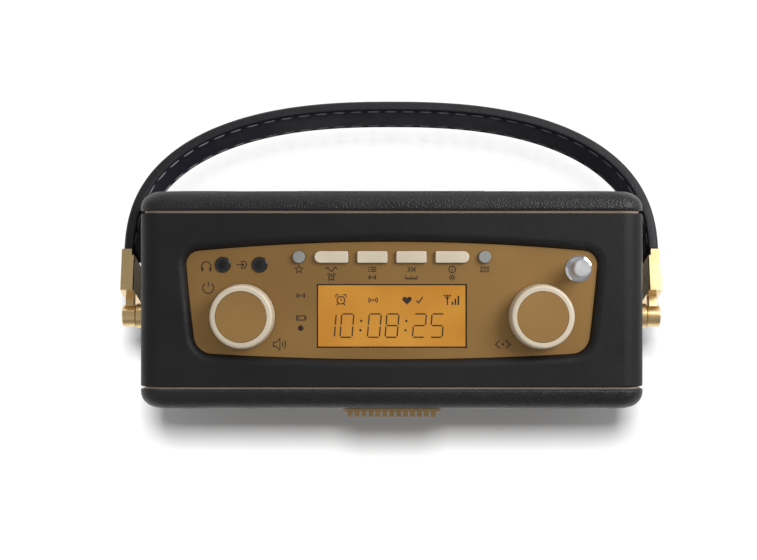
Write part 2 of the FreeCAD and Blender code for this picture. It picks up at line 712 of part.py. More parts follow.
def make_knob_set(prefix, x):
    """Knob, its disc, the shaft and the sprung plunger under it, and the encoder's housing."""
    skirt = PANEL_TOP + KNOB_LIFT
    top = skirt + KNOB_HEIGHT
    centre = Vector(x, KNOB_Y, 0)
    insert_seat = top - INSERT_SINK - INSERT_THICK
    shaft_end = insert_seat - 1.6
    body = turned([(0, skirt), (KNOB_RADIUS, skirt), (KNOB_RADIUS, skirt + 1.2),
                   (KNOB_TOP_RADIUS, top), (0, top)], centre, Z_AXIS)
    body = body.makeFillet(KNOB_EDGE, edges_in_plane(body, "z", top))
    body = body.cut(post(INSERT_RADIUS + INSERT_GAP, x, KNOB_Y, insert_seat, top + 1))
    hollow = post(KNOB_RADIUS - KNOB_WALL, x, KNOB_Y, skirt - 1, insert_seat - 1.4)
    body = body.cut(hollow.cut(post(KNOB_HUB, x, KNOB_Y, skirt - 2, top)))
    body = body.cut(shaft_section(SHAFT_RADIUS, x, skirt - 2, shaft_end + 0.2))
    disc = post(INSERT_RADIUS, x, KNOB_Y, insert_seat, insert_seat + INSERT_THICK)
    disc = disc.makeFillet(0.3, edges_in_plane(disc, "z", insert_seat + INSERT_THICK))

    floor = BOARD_TOP + 1.0
    plunger_low = floor + PUSH_TRAVEL + 0.4
    plunger_high = plunger_low + 1.0
    room_top = plunger_high + 1.6
    half_w, half_d = ENCODER_WIDTH / 2, ENCODER_DEPTH / 2
    housing_top = BOARD_TOP + ENCODER_BODY
    housing = fuse([box(x - half_w, x + half_w, KNOB_Y - half_d, KNOB_Y + half_d, BOARD_TOP,
                        housing_top), post(BUSHING_RADIUS, x, KNOB_Y, BOARD_TOP, PANEL_UNDER - 0.5)])
    housing = housing.cut(post(PLUNGER_RADIUS + 0.2, x, KNOB_Y, floor, room_top))
    housing = housing.cut(post(SHAFT_RADIUS + RUNNING_GAP, x, KNOB_Y, room_top - 1, PANEL_TOP))
    shaft = fuse([post(SHAFT_RADIUS, x, KNOB_Y, plunger_high, PANEL_TOP - 1),
                  shaft_section(SHAFT_RADIUS, x, PANEL_TOP - 1.5, shaft_end),
                  post(PLUNGER_RADIUS - 0.4, x, KNOB_Y, plunger_high, plunger_high + 1.2)])
    plunger = post(PLUNGER_RADIUS, x, KNOB_Y, plunger_low, plunger_high)
    pieces = {prefix + "_knob": body, prefix + "_disc": disc, prefix + "_shaft": shaft,
              prefix + "_plunger": plunger}
    return pieces, housing


def make_knobs():
    """Both knob sets, with the two identical encoder housings as one group."""
    pieces, left_housing = make_knob_set("volume", -KNOB_X)
    right, right_housing = make_knob_set("tuning", KNOB_X)
    pieces.update(right)
    pieces["rotary_encoders"] = group([left_housing, right_housing])
    return pieces


# ================================================================ aerial
def make_aerial():
    """Collar, guide tube, three telescoping tubes, the inner rod and the tip."""
    centre = Vector(AERIAL_X, AERIAL_Y, 0)
    bore = AERIAL_TUBES[0] + RUNNING_GAP
    step = COLLAR_STEP
    collar = turned([(bore, COLLAR_BOTTOM), (step, COLLAR_BOTTOM), (step, PANEL_TOP),
                     (COLLAR_RADIUS, PANEL_TOP), (COLLAR_RADIUS, PANEL_TOP + 0.6),
                     (COLLAR_RADIUS - 0.9, PANEL_TOP + 1.0), (COLLAR_RADIUS - 1.0, COLLAR_TOP),
                     (bore, COLLAR_TOP)], centre, Z_AXIS)
    outer = GUIDE_BORE + GUIDE_WALL
    guide = post(outer, AERIAL_X, AERIAL_Y, GUIDE_FLOOR, COLLAR_BOTTOM)
    guide = guide.cut(post(GUIDE_BORE, AERIAL_X, AERIAL_Y, GUIDE_FLOOR + 1.5, TOP))
    pieces = {"aerial_collar": collar, "aerial_guide": guide}
    tube_top = COLLAR_TOP - 0.2
    low = GUIDE_FLOOR + 2.0
    for index, radius in enumerate(AERIAL_TUBES):
        tube = post(radius, AERIAL_X, AERIAL_Y, low, tube_top)
        if index == 0:
            tube = fuse([tube, post(GUIDE_BORE - 0.1, AERIAL_X, AERIAL_Y, low, low + 3.0)])
        tube = tube.cut(post(radius - AERIAL_WALL, AERIAL_X, AERIAL_Y, low + AERIAL_FLOOR, TOP))
        pieces["aerial_tube_%d" % (index + 1)] = tube
        low += AERIAL_FLOOR + 0.2
    tip_low = COLLAR_TOP + 0.3
    tip_top = tip_low + TIP_HEIGHT
    pieces["aerial_rod"] = post(ROD_RADIUS, AERIAL_X, AERIAL_Y, low, tip_top - 3.0)
    tip = turned([(ROD_RADIUS, tip_low), (TIP_RADIUS - 0.5, tip_low), (TIP_RADIUS - 0.5, tip_low + 1.2),
                  (TIP_RADIUS, tip_low + 1.8), (TIP_RADIUS, tip_top - 0.6),
                  (TIP_RADIUS - 0.6, tip_top), (0, tip_top), (0, tip_top - 3.0),
                  (ROD_RADIUS, tip_top - 3.0)], centre, Z_AXIS)
    pieces["aerial_tip"] = tip
    return pieces


# ================================================================ boards
def board_screw_places():
    """Where the control board is screwed to the panel's posts."""
    return [(side * POST_X, y) for side in (-1, 1) for y in POST_Y]


def make_boards():
    """Control board, receiver module, main board and the flat cable between them."""
    low = BOARD_TOP - BOARD_THICK
    control = box(-BOARD_HALF_WIDTH, BOARD_HALF_WIDTH, BOARD_FRONT, BOARD_REAR, low, BOARD_TOP)
    room = GUIDE_BORE + GUIDE_WALL + 0.4
    notch = fuse([post(room, AERIAL_X, AERIAL_Y, low - 1, TOP),
                  box(AERIAL_X, HALF, AERIAL_Y - room, AERIAL_Y + room, low - 1, TOP)])
    control = control.cut(notch)
    for x, y in board_screw_places():
        control = control.cut(post(SCREW_RADIUS + 0.2, x, y, low - 1, BOARD_TOP + 1))
    can = box(8.0, 38.0, -12.0, 14.0, low - 4.0, low)
    can = can.makeFillet(0.8, edges_in_plane(can, "z", low - 4.0))
    inner = MAIN_BOARD_X - BOARD_THICK
    rear = PANEL_BACK - 0.8
    main = box(inner, MAIN_BOARD_X, -18.0, rear, 18.0, 84.0)
    parts = [main, box(inner - 9.0, inner, -12.0, 4.0, 26.0, 40.0)]
    parts += [rod(4.0, (inner, y, 52.0), (inner - 11.0, y, 52.0)) for y in (-8.0, 4.0, 16.0)]
    parts += [box(inner - 2.0, inner, -10.0, 4.0, 62.0, 76.0)]
    main = fuse(parts)
    for y, z in main_board_screws():
        main = main.cut(rod(SCREW_RADIUS + 0.2, (inner - 1, y, z), (MAIN_BOARD_X + 1, y, z)))
    cable = box(inner - 0.8, inner, 10.0, 24.0, 78.0, low)
    return {"control_board": control, "receiver_module": can, "main_board": main,
            "flat_cable": cable}


def main_board_screws():
    """Depth and height of the main board's screws into the battery box."""
    return [(29.0, BAY_BOTTOM + 11.0), (29.0, BAY_TOP - 8.0)]


def pan_screw(head_at, direction, length):
    """A small pan-head screw: the head's underside is at the given point."""
    start = Vector(*head_at)
    along = Vector(*direction)
    shank = Part.makeCylinder(SCREW_RADIUS, length, start, along)
    head = Part.makeCylinder(SCREW_HEAD, SCREW_HEAD_THICK, start, along * -1)
    return fuse([shank, head])


def make_screws():
    """Small screws inside the radio, and the four in the rear panel."""
    board_low = BOARD_TOP - BOARD_THICK
    flange_low = BOARD_BOTTOM - PANEL_FLANGE
    inner = [pan_screw((x, y, board_low), (0, 0, 1), SCREW_LENGTH)
             for x, y in board_screw_places()]
    inner += [pan_screw((x, y, flange_low), (0, 0, 1), SCREW_LENGTH)
              for x, y in flange_screw_places()]
    inner += [pan_screw((x, -PANEL_BACK + SPEAKER_FLANGE, z), (0, -1, 0), SCREW_LENGTH)
              for x, z in speaker_screw_places()]
    inner += [pan_screw((MAIN_BOARD_X - BOARD_THICK, y, z), (1, 0, 0), SCREW_LENGTH)
              for y, z in main_board_screws()]
    rear = []
    for x, z in rear_screw_places():
        head = Part.makeCone(SCREW_RADIUS, SCREW_RADIUS + 2.4, 2.4, Vector(x, FACE - 2.6, z), Y_AXIS)
        shank = rod(SCREW_RADIUS, (x, SLEEVE - REAR_SCREW_DEPTH, z), (x, FACE - 2.6, z))
        drive = box(x - 2.2, x + 2.2, FACE - 1.2, FACE, z - 0.4, z + 0.4)
        cross = box(x - 0.4, x + 0.4, FACE - 1.2, FACE, z - 2.2, z + 2.2)
        rear.append(fuse([head, shank]).cut(drive).cut(cross))
    return {"inner_screws": group(inner), "rear_screws": group(rear)}


# ================================================================ loudspeaker
def speaker_screw_places():
    """The four screws around the loudspeaker's flange."""
    reach = SPEAKER_RADIUS - 1.6
    turns = [math.radians(45 + 90 * index) for index in range(4)]
    return [(reach * math.cos(turn), SPEAKER_Z + reach * math.sin(turn)) for turn in turns]


def make_speaker():
    """Basket, magnet, cone and surround, on an axis that points to the front."""
    back = -PANEL_BACK
    centre = Vector(0, back, SPEAKER_Z)
    hole = SPEAKER_RADIUS - 3.0
    ears = [rod(4.0, (x, back, z), (x, back + SPEAKER_FLANGE, z)) for x, z in speaker_screw_places()]
    neck = MAGNET_RADIUS - 6.0
    basket = turned([(CONE_RADIUS + 2.0, 0), (SPEAKER_RADIUS - 2.0, 0),
                     (SPEAKER_RADIUS - 2.0, SPEAKER_FLANGE), (CONE_RADIUS + 4.4, SPEAKER_FLANGE),
                     (neck + 2.0, BASKET_DEPTH), (CONE_NECK + 2.0, BASKET_DEPTH),
                     (CONE_NECK + 2.0, BASKET_DEPTH - 1.2), (neck + 1.0, BASKET_DEPTH - 1.2),
                     (CONE_RADIUS + 2.0, SPEAKER_FLANGE)], centre, Y_AXIS)
    basket = fuse([basket] + ears)
    for index in range(4):
        spin = Rotation(Y_AXIS, 90 * index)
        opening = box(-8, 8, 4.5, BASKET_DEPTH - 4.0, 14, 50)
        opening.Placement = Placement(centre, spin)
        basket = basket.cut(opening)
    for x, z in speaker_screw_places():
        basket = basket.cut(rod(SCREW_RADIUS + 0.2, (x, back - 1, z), (x, back + 5, z)))
    end = BASKET_DEPTH + MAGNET_DEPTH
    magnet = turned([(0, BASKET_DEPTH), (CONE_NECK - 1.2, BASKET_DEPTH),
                     (CONE_NECK - 1.2, end - 4), (CONE_NECK + 1.2, end - 4),
                     (CONE_NECK + 1.2, BASKET_DEPTH), (MAGNET_RADIUS, BASKET_DEPTH),
                     (MAGNET_RADIUS, end), (0, end)], centre, Y_AXIS)
    front = -0.6
    cone = turned([(CONE_RADIUS, front), (CONE_RADIUS, front + CONE_THICK),
                   (CONE_NECK + 0.5, front + CONE_DEPTH + CONE_THICK),
                   (CONE_NECK + 0.5, BASKET_DEPTH + 6.0), (CONE_NECK - 0.4, BASKET_DEPTH + 6.0),
                   (CONE_NECK - 0.4, front + CONE_DEPTH)], centre, Y_AXIS)
    cap = turned([(0, front + CONE_DEPTH - 4.5), (CONE_NECK * 0.7, front + CONE_DEPTH - 2.6),
                  (CONE_NECK - 0.2, front + CONE_DEPTH + 0.6), (0, front + CONE_DEPTH - 3.4)],
                 centre, Y_AXIS)
    inner = CONE_RADIUS + RUNNING_GAP
    surround = turned([(inner, -1.6), (inner + SURROUND_WIDTH / 2, -2.4), (hole - 0.6, -1.0),
                       (hole - 0.6, 0), (CONE_RADIUS + 2.0, 0), (inner, -0.4)], centre, Y_AXIS)
    return {"speaker_frame": basket, "speaker_magnet": magnet, "speaker_cone": fuse([cone, cap]),
            "speaker_surround": surround}


# ================================================================ rear pieces
def make_rear():
    """Rear panel, battery box with its contacts and door, and the power socket."""
    half = BAY_WIDTH / 2
    outer = half + BOX_WALL + STEP_WIDTH
    opening = box(-outer - 0.2, outer + 0.2, 0, FACE + 1,
                  BAY_BOTTOM - BOX_WALL - STEP_WIDTH - 0.2, BAY_TOP + BOX_WALL + STEP_WIDTH + 0.2)
    panel = padded_block(1).cut(opening)
    panel = panel.cut(rod(DC_NECK + 0.2, (DC_X, PANEL_BACK - 1, DC_Z), (DC_X, FACE + 1, DC_Z)))
    for x, z in rear_screw_places():
        panel = panel.cut(rod(SCREW_RADIUS + 0.2, (x, PANEL_BACK - 1, z), (x, FACE, z)))
        panel = panel.cut(Part.makeCone(SCREW_RADIUS, SCREW_RADIUS + 2.4, 2.4,
                                        Vector(x, FACE - 2.6, z), Y_AXIS))
        panel = panel.cut(rod(SCREW_RADIUS + 2.4, (x, FACE - 0.2, z), (x, FACE + 1, z)))
    pieces = {"rear_panel": panel}
    pieces.update(make_battery_box(half))
    pieces["dc_socket"] = make_dc_socket()
    return pieces


def bay_block(grow, y0, y1):
    """The battery bay's outline, grown on all four sides, between two depths."""
    half = BAY_WIDTH / 2 + grow
    return box(-half, half, y0, y1, BAY_BOTTOM - grow, BAY_TOP + grow)


def make_battery_box(half):
    """Open tray for four AA cells, its contacts, and the cover that lifts off its mouth."""
    rim = BOX_WALL + STEP_WIDTH
    floor = BAY_FLOOR
    tray = bay_block(BOX_WALL, floor - BOX_WALL, BAY_MOUTH)
    step = bay_block(rim, BAY_MOUTH - BOX_WALL, DOOR_FACE)
    flange = bay_block(rim + FLANGE_WIDTH, FACE, DOOR_FACE)
    shell = fuse([tray, step, flange])
    shell = shell.cut(bay_block(0.0, floor, BAY_MOUTH + 1))
    shell = shell.cut(bay_block(rim - RIM_WALL, BAY_MOUTH, DOOR_FACE + 1))
    ribs = []
    for index in (-1, 0, 1):
        x = index * BAY_WIDTH / 4
        ribs.append(box(x - 0.5, x + 0.5, floor, floor + 3.0, BAY_BOTTOM, BAY_TOP))
    bosses = [rod(3.0, (-half - BOX_WALL + 0.5, y, z), (MAIN_BOARD_X, y, z))
              for y, z in main_board_screws()]
    shell = fuse([shell] + ribs + bosses)
    for y, z in main_board_screws():
        shell = shell.cut(rod(SCREW_RADIUS, (MAIN_BOARD_X - 1, y, z),
                              (MAIN_BOARD_X - BOARD_THICK + SCREW_LENGTH + 0.4, y, z)))
    well = rim - RIM_WALL
    plate = bay_block(well - DOOR_GAP, DOOR_BACK, DOOR_FACE)
    rib = bay_block(-DOOR_RIB_GAP, DOOR_BACK - DOOR_RIB_HEIGHT, DOOR_BACK)
    rib = rib.cut(bay_block(-DOOR_RIB_GAP - DOOR_RIB_WALL, DOOR_BACK - DOOR_RIB_HEIGHT - 1,
                            DOOR_BACK))
    notch = rod(7.0, (0, DOOR_FACE + 5.6, BAY_TOP + well - 5.0), (0, DOOR_FACE + 5.6, BAY_TOP + 9))
    grips = [box(-9.0, 9.0, DOOR_FACE - 0.4, DOOR_FACE + 1, z, z + 0.8)
             for z in (BAY_TOP - 8.0, BAY_TOP - 10.0, BAY_TOP - 12.0)]
    door = fuse([plate, rib]).cut(notch).cut(group(grips))
    return {"battery_box": shell, "battery_door": door,
            "battery_contacts": make_contacts(floor)}


def make_contacts(floor):
    """Eight spring leaves, one at each end of each cell."""
    leaves = []
    middle = floor + BAY_DEPTH / 2
    for index in range(4):
        x = (index - 1.5) * BAY_WIDTH / 4
        for z, way in ((BAY_BOTTOM, 1), (BAY_TOP, -1)):
            plate = box(x - 5, x + 5, middle - 5, middle + 5, min(z, z + way * 0.4),
                        max(z, z + way * 0.4))
            bump = rod(2.0, (x, middle, z + way * 0.2), (x, middle, z + way * 2.4))
            leaves.append(fuse([plate, bump]))
    return group(leaves)


def make_dc_socket():
    """Power socket on the main board, with its mouth flush in the rear panel."""
    x = DC_X
    right = MAIN_BOARD_X - BOARD_THICK
    body = box(x - 4.6, right, PANEL_BACK - 14.0, PANEL_BACK - 0.2, DC_Z - 4.6, DC_Z + 4.6)
    neck = rod(DC_NECK, (x, PANEL_BACK - 1, DC_Z), (x, FACE + 0.4, DC_Z))
    neck = neck.makeFillet(0.4, edges_in_plane(neck, "y", FACE + 0.4))
    bore = rod(DC_BORE, (x, FACE + 0.4 - DC_LENGTH, DC_Z), (x, FACE + 1, DC_Z))
    pin = rod(DC_PIN, (x, FACE - DC_LENGTH, DC_Z), (x, FACE - 0.4, DC_Z))
    pin = pin.makeFillet(0.4, edges_in_plane(pin, "y", FACE - 0.4))
    return fuse([fuse([body, neck]).cut(bore), pin])


# ================================================================ leads
def wire_tube(points, radius):
    """A lead: straight runs joined by tangent arcs, swept with a round section."""
    points = [Vector(*point) for point in points]
    edges = []
    start = points[0]
    for before, corner, after in zip(points, points[1:], points[2:]):
        run_in, run_out = corner - before, after - corner
        turn = run_in.getAngle(run_out)
        bend = 0.45 * min(run_in.Length, run_out.Length)
        unit_in, unit_out = run_in / run_in.Length, run_out / run_out.Length
        first, last = corner - unit_in * bend, corner + unit_out * bend
        inward = (unit_out - unit_in) / (unit_out - unit_in).Length
        arc_radius = bend / math.tan(turn / 2)
        middle = corner + inward * (arc_radius / math.cos(turn / 2) - arc_radius)
        edges.append(Part.LineSegment(start, first).toShape())
        edges.append(Part.Arc(first, middle, last).toShape())
        start = last
    edges.append(Part.LineSegment(start, points[-1]).toShape())
    path = Part.Wire(edges)
    ring = Part.Wire([Part.Circle(points[0], points[1] - points[0], radius).toShape()])
    return path.makePipeShell([ring], True, True)


def make_leads():
    """Loudspeaker leads and battery leads, each ending face to face with its board."""
    leads = []
    board = MAIN_BOARD_X
    for z in (66.0, 70.0):
        leads.append(wire_tube([(-23.0, -9.0, z), (-30.0, -9.0, z + 3.0), (-34.0, -6.0, z + 7.0),
                                (board, -6.0, z + 7.0)], 0.6))
    for z in (64.0, 69.0):
        leads.append(wire_tube([(-BAY_WIDTH / 2 - BOX_WALL, BAY_FLOOR, z),
                                (board, BAY_FLOOR, z)], 0.6))
    return group(leads)


# ================================================================ handle
def arch_stations():
    """Points and directions along the arch's outer curve, from right to left."""
    stations = []
    for index in range(ARCH_SPANS + 1):
        turn = math.pi * index / ARCH_SPANS
        cosine, sine = math.cos(turn), math.sin(turn)
        across = math.copysign(abs(cosine) ** (2 / ARCH_POWER), cosine)
        up = abs(sine) ** (2 / ARCH_POWER)
        normal = Vector(math.copysign(abs(across) ** (ARCH_POWER - 1), across) / ARCH_HALF_WIDTH,
                        0, up ** (ARCH_POWER - 1) / ARCH_RISE).normalize()
        spot = Vector(ARCH_HALF_WIDTH * across, 0, ARCH_START + ARCH_RISE * up)
        stations.append((spot, Vector(-normal.z, 0, normal.x)))
    return stations


def arch_arcs():
    """The arch as a chain of tangent arcs: centre, start and end of each."""
    arcs = []
    stations = arch_stations()
    for (p0, t0), (p1, t1) in zip(stations, stations[1:]):
        chord, both = p1 - p0, t0 + t1
        spread = 2 * (1 - t0.dot(t1))
        reach = (math.sqrt(chord.dot(both) ** 2 + spread * chord.dot(chord))
                 - chord.dot(both)) / spread
        joint = (p0 + p1 + (t0 - t1) * reach) * 0.5
        for spot, direction, far in ((p0, t0, joint), (p1, t1, joint)):
            inward = Vector(-direction.z, 0, direction.x)
            radius = (far - spot).dot(far - spot) / (2 * inward.dot(far - spot))
            ends = (spot, far) if spot is p0 else (far, spot)
            arcs.append((spot + inward * radius, ends[0], ends[1]))
    return arcs


def arch_edges(inset):
    """Edges of the arch's curve, moved inwards from the outer surface."""
    edges = []
    for centre, start, end in arch_arcs():
        radius = (start - centre).Length - inset
        first = centre + (start - centre).normalize() * radius
        last = centre + (end - centre).normalize() * radius
        edges.append(arc_between(centre, radius, first, last))
    return edges


def arch_band(outer, inner, width, foot):
    """A band between two depths of the arch, with straight legs down to a foot."""
    def leg(x, z0, z1):
        return Part.LineSegment(Vector(x, 0, z0), Vector(x, 0, z1)).toShape()

    a, b, top = ARCH_HALF_WIDTH - outer, ARCH_HALF_WIDTH - inner, ARCH_START
    edges = [leg(a, foot, top)] + arch_edges(outer) + [leg(-a, top, foot)]
    edges.append(Part.LineSegment(Vector(-a, 0, foot), Vector(-b, 0, foot)).toShape())
    edges += [leg(-b, foot, top)] + arch_edges(inner)[::-1] + [leg(b, top, foot)]
    edges.append(Part.LineSegment(Vector(b, 0, foot), Vector(a, 0, foot)).toShape())
    face = Part.Face(Part.Wire(Part.__sortEdges__(edges)))
    face.translate(Vector(0, -width / 2, 0))
    return face.extrude(Vector(0, width, 0))


def fold(shape):
    """Turn an upright handle piece back to where it lies, at its pivots."""
    shape.rotate(Vector(0, 0, 0), X_AXIS, -HANDLE_FOLD)
    shape.translate(Vector(0, PIVOT_Y, PIVOT_Z))
    return shape


def outer_rims(strap):
    """Edges of a band that follow the arch's outer curve."""
    ends = [point for _, start, end in arch_arcs() for point in (start, end)]
    rims = []
    for edge in strap.Edges:
        flat = [Vector(vertex.X, 0, vertex.Z) for vertex in edge.Vertexes]
        close = [min((spot - point).Length for point in ends) < 0.001 for spot in flat]
        if edge.BoundBox.YLength < 0.01 and all(close):
            rims.append(edge)
    return rims


def make_strap():
    """Strap with a thin tongue in each clasp, and the lining under it."""
    leg = CLASP_END + 0.1
    foot = CLASP_END - TONGUE_ROOT
    below = box(-CASE_WIDTH, CASE_WIDTH, -CASE_WIDTH, CASE_WIDTH, 0, leg)
    strap = arch_band(0.0, STRAP_THICK, STRAP_WIDTH, foot)
    strap = strap.makeFillet(STRAP_EDGE, outer_rims(strap)).cut(below)
    tongue_mid = (CLASP_INNER + CLASP_OUTER) / 2
    half_t, half_w = TONGUE_THICK / 2, TONGUE_WIDTH / 2
    tongues = [box(side * tongue_mid - half_t, side * tongue_mid + half_t, -half_w, half_w,
                   TONGUE_START, leg) for side in (-1, 1)]
    lining = arch_band(STRAP_THICK, STRAP_THICK + LINING_THICK, LINING_WIDTH, foot).cut(below)
    return {"handle_strap": fold(fuse([strap] + tongues)), "handle_lining": fold(lining)}


def make_clasp():
    """Right-hand brass clasp: two leaves, a foot, a neck and the pivot knuckle."""
    inner, outer = CLASP_INNER, CLASP_OUTER
    wide = CLASP_HALF_WIDTH
    block = box(inner, outer, -wide, wide, CLASP_FOOT, CLASP_END)
    block = block.makeFillet(0.5, edges_along(block, Z_AXIS))
    slot = box(inner + CLASP_LEAF, outer - CLASP_LEAF, -wide + 1.4, wide - 1.4,
               CLASP_FOOT + 1.6, CLASP_END + 1)
    block = block.cut(slot)
    block = block.cut(box(inner - 1, inner + CLASP_LEAF + 0.1, -wide - 1, wide + 1,
                          CLASP_SHORT_LEAF, CLASP_END + 1))
    neck = box(inner + CLASP_LEAF, outer - CLASP_LEAF, -NECK_HALF_WIDTH, NECK_HALF_WIDTH,
               0, CLASP_FOOT + 0.5)
    knuckle = rod(KNUCKLE_RADIUS, (inner, 0, 0), (outer, 0, 0))
    rims = edges_in_plane(knuckle, "x", outer) + edges_in_plane(knuckle, "x", inner)
    knuckle = knuckle.makeFillet(0.5, rims)
    clasp = fuse([block, neck, knuckle])
    seat = outer - 1.7
    clasp = clasp.cut(rod(SHOULDER_RADIUS + RUNNING_GAP, (inner - 1, 0, 0), (outer + 1, 0, 0)))
    clasp = clasp.cut(rod(BOLT_HEAD + 0.2, (seat, 0, 0), (outer + 1, 0, 0)))
    return clasp


def make_pivots():
    """Plates with bosses on the case's sides, and the shoulder screws through them."""
    plates, bolts = [], []
    plate = rounded_box(HALF, HALF + PLATE_THICK, PIVOT_Y - PLATE_HALF_WIDTH,
                        PIVOT_Y + PLATE_HALF_WIDTH, PIVOT_Z - PLATE_HALF_HEIGHT,
                        PIVOT_Z + PLATE_HALF_HEIGHT, X_AXIS, 3.0)
    plate = plate.makeFillet(0.4, edges_in_plane(plate, "x", HALF + PLATE_THICK))
    boss = rod(BOSS_RADIUS, (HALF, PIVOT_Y, PIVOT_Z), (BOSS_END, PIVOT_Y, PIVOT_Z))
    thread = rod(BOLT_THREAD, (HALF - 1, PIVOT_Y, PIVOT_Z), (BOSS_END + 1, PIVOT_Y, PIVOT_Z))
    plate = fuse([plate, boss]).cut(thread)
    seat = CLASP_OUTER - 1.6
    bolt = fuse([rod(BOLT_THREAD, (HALF + 0.2, PIVOT_Y, PIVOT_Z), (BOSS_END, PIVOT_Y, PIVOT_Z)),
                 rod(SHOULDER_RADIUS, (BOSS_END, PIVOT_Y, PIVOT_Z), (seat, PIVOT_Y, PIVOT_Z)),
                 rod(BOLT_HEAD, (seat, PIVOT_Y, PIVOT_Z), (seat + 1.3, PIVOT_Y, PIVOT_Z))])
    bolt = bolt.cut(box(seat + 0.7, seat + 2, PIVOT_Y - 0.5, PIVOT_Y + 0.5,
                        PIVOT_Z - BOLT_HEAD, PIVOT_Z + BOLT_HEAD))
    plates, bolts = [plate, mirrored(plate)], [bolt, mirrored(bolt)]
    return {"pivot_plates": group(plates), "pivot_screws": group(bolts)}


def make_handle():
    """Strap, lining and the two clasps."""
    pieces = make_strap()
    right = fold(make_clasp())
    pieces["clasp_right"] = right
    pieces["clasp_left"] = mirrored(right)
    return pieces


# ================================================================ all pieces
def build():
    """Every piece by name."""
    pieces = {}
    pieces.update(make_case())
    pieces["piping_strips"] = make_piping()
    pieces.update(make_front())
    pieces["foot_ring"] = make_foot_ring()
    pieces["control_panel"] = make_control_panel()
    pieces.update(make_keys())
    pieces["key_switches"] = make_switches()
    pieces.update(make_display())
    pieces.update(make_sockets())
    pieces["battery_lamp"] = make_lamp()
    pieces.update(make_knobs())
    pieces.update(make_aerial())
    pieces.update(make_boards())
    pieces.update(make_screws())
    pieces.update(make_speaker())
    pieces.update(make_rear())
    pieces["inner_leads"] = make_leads()
    pieces.update(make_pivots())
    pieces.update(make_handle())
    return pieces


def main():
    """Write one STEP file per piece."""
    os.makedirs("parts", exist_ok=True)
    for name, shape in build().items():
        shape.exportStep("parts/%s.step" % name)
        print("%-18s solids %2d  volume %10.1f  valid %s"
              % (name, len(shape.Solids), shape.Volume, shape.isValid()))


main()
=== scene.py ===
"""Looks of the tabletop radio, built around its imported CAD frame.

Metres, +Z up, front towards -Y. The radio stands upright and the camera looks straight down
on its top, with the folded handle at the upper edge of the picture.
"""
import math
import random

import bmesh
import bpy
from mathutils import Matrix, Vector, noise


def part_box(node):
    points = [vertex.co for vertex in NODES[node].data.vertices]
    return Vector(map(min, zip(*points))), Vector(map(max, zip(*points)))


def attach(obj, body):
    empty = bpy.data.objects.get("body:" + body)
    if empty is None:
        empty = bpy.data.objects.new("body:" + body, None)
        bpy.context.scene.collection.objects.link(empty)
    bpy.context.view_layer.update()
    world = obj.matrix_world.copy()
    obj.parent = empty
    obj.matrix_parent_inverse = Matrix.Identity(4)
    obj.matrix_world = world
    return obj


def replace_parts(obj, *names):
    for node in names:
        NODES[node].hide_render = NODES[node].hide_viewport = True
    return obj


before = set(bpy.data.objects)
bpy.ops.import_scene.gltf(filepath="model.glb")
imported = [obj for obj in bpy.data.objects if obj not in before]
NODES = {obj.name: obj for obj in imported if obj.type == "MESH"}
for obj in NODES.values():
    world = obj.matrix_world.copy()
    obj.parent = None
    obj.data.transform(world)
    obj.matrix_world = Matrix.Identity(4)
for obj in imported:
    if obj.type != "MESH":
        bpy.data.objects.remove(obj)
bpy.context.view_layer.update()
MM = 0.001

# ---------------------------------------------------------------- places read from the frame
FRONT_LOW, FRONT_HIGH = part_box("front_surround")
REAR_LOW, REAR_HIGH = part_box("rear_panel")
GRILLE_LOW, GRILLE_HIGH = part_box("speaker_grille")
CLOTH_LOW, CLOTH_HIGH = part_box("grille_cloth")
BAFFLE_LOW, BAFFLE_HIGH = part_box("front_baffle")
FLANGE_LOW, FLANGE_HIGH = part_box("battery_box")
DC_LOW, DC_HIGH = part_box("dc_socket")
SCREWS_LOW, SCREWS_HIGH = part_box("rear_screws")
PANEL_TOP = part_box("control_panel")[1].z
GLASS_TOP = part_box("display_module")[1].z
LENS_LOW, LENS_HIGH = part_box("display_window")
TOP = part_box("cabinet_cover")[1].z

# ---------------------------------------------------------------- sizes of what is modelled here
CASE_CORNER = 9.0 * MM
PAD_ROUND = 7.0 * MM            # padded edge of the front and rear panels
PAD_CROWN = 0.45 * MM           # how far the padding swells between its edges
PAD_LIP = 2.6 * MM              # padding rolled into the grille window
PAD_UNEVEN = 0.10 * MM
PAD_UNEVEN_SIZE = 17 * MM
WINDOW_ROUND = 5.0 * MM
GRILLE_GAP = 0.3 * MM
FLANGE_WIDTH = 2.8 * MM         # how far the battery box's flange covers the rear panel
SCREW_HEAD = 3.8 * MM
SCREW_HOLE_GAP = 0.1 * MM
DC_NECK = 4.4 * MM
DC_NECK_GAP = 0.2 * MM

PIVOT = Vector((0, -7.0, 84.0)) * MM
HANDLE_FOLD = math.radians(-105)
ARCH_HALF_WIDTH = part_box("handle_strap")[1].x
ARCH_START = 25.0 * MM
ARCH_RISE = 68.5 * MM
ARCH_POWER = 2.45
CLASP_END = 26.0 * MM
STRAP_WIDTH = 22.0 * MM
STRAP_THICK = 4.0 * MM
STRAP_DOME = 0.8 * MM           # how much lower the strap's outer face is at its edges
LINING_WIDTH = 19.6 * MM
LINING_THICK = 0.9 * MM
TONGUE_WIDTH = 20.0 * MM
TONGUE_START = 10.6 * MM
TONGUE_DEPTH = (1.1 * MM, 4.1 * MM)
STATION_PITCH = 1.2 * MM
STITCH_PITCH = 7.5 * MM
STITCH_LENGTH = 5.0 * MM
STITCH_RADIUS = 0.33 * MM
STITCH_ROW = 8.5 * MM           # distance of a row from the strap's middle
STITCH_SINK = 0.24 * MM         # how deep a stitch's axis lies in the outer face
STITCH_SINK_INSIDE = 0.16 * MM  # the same in the lining

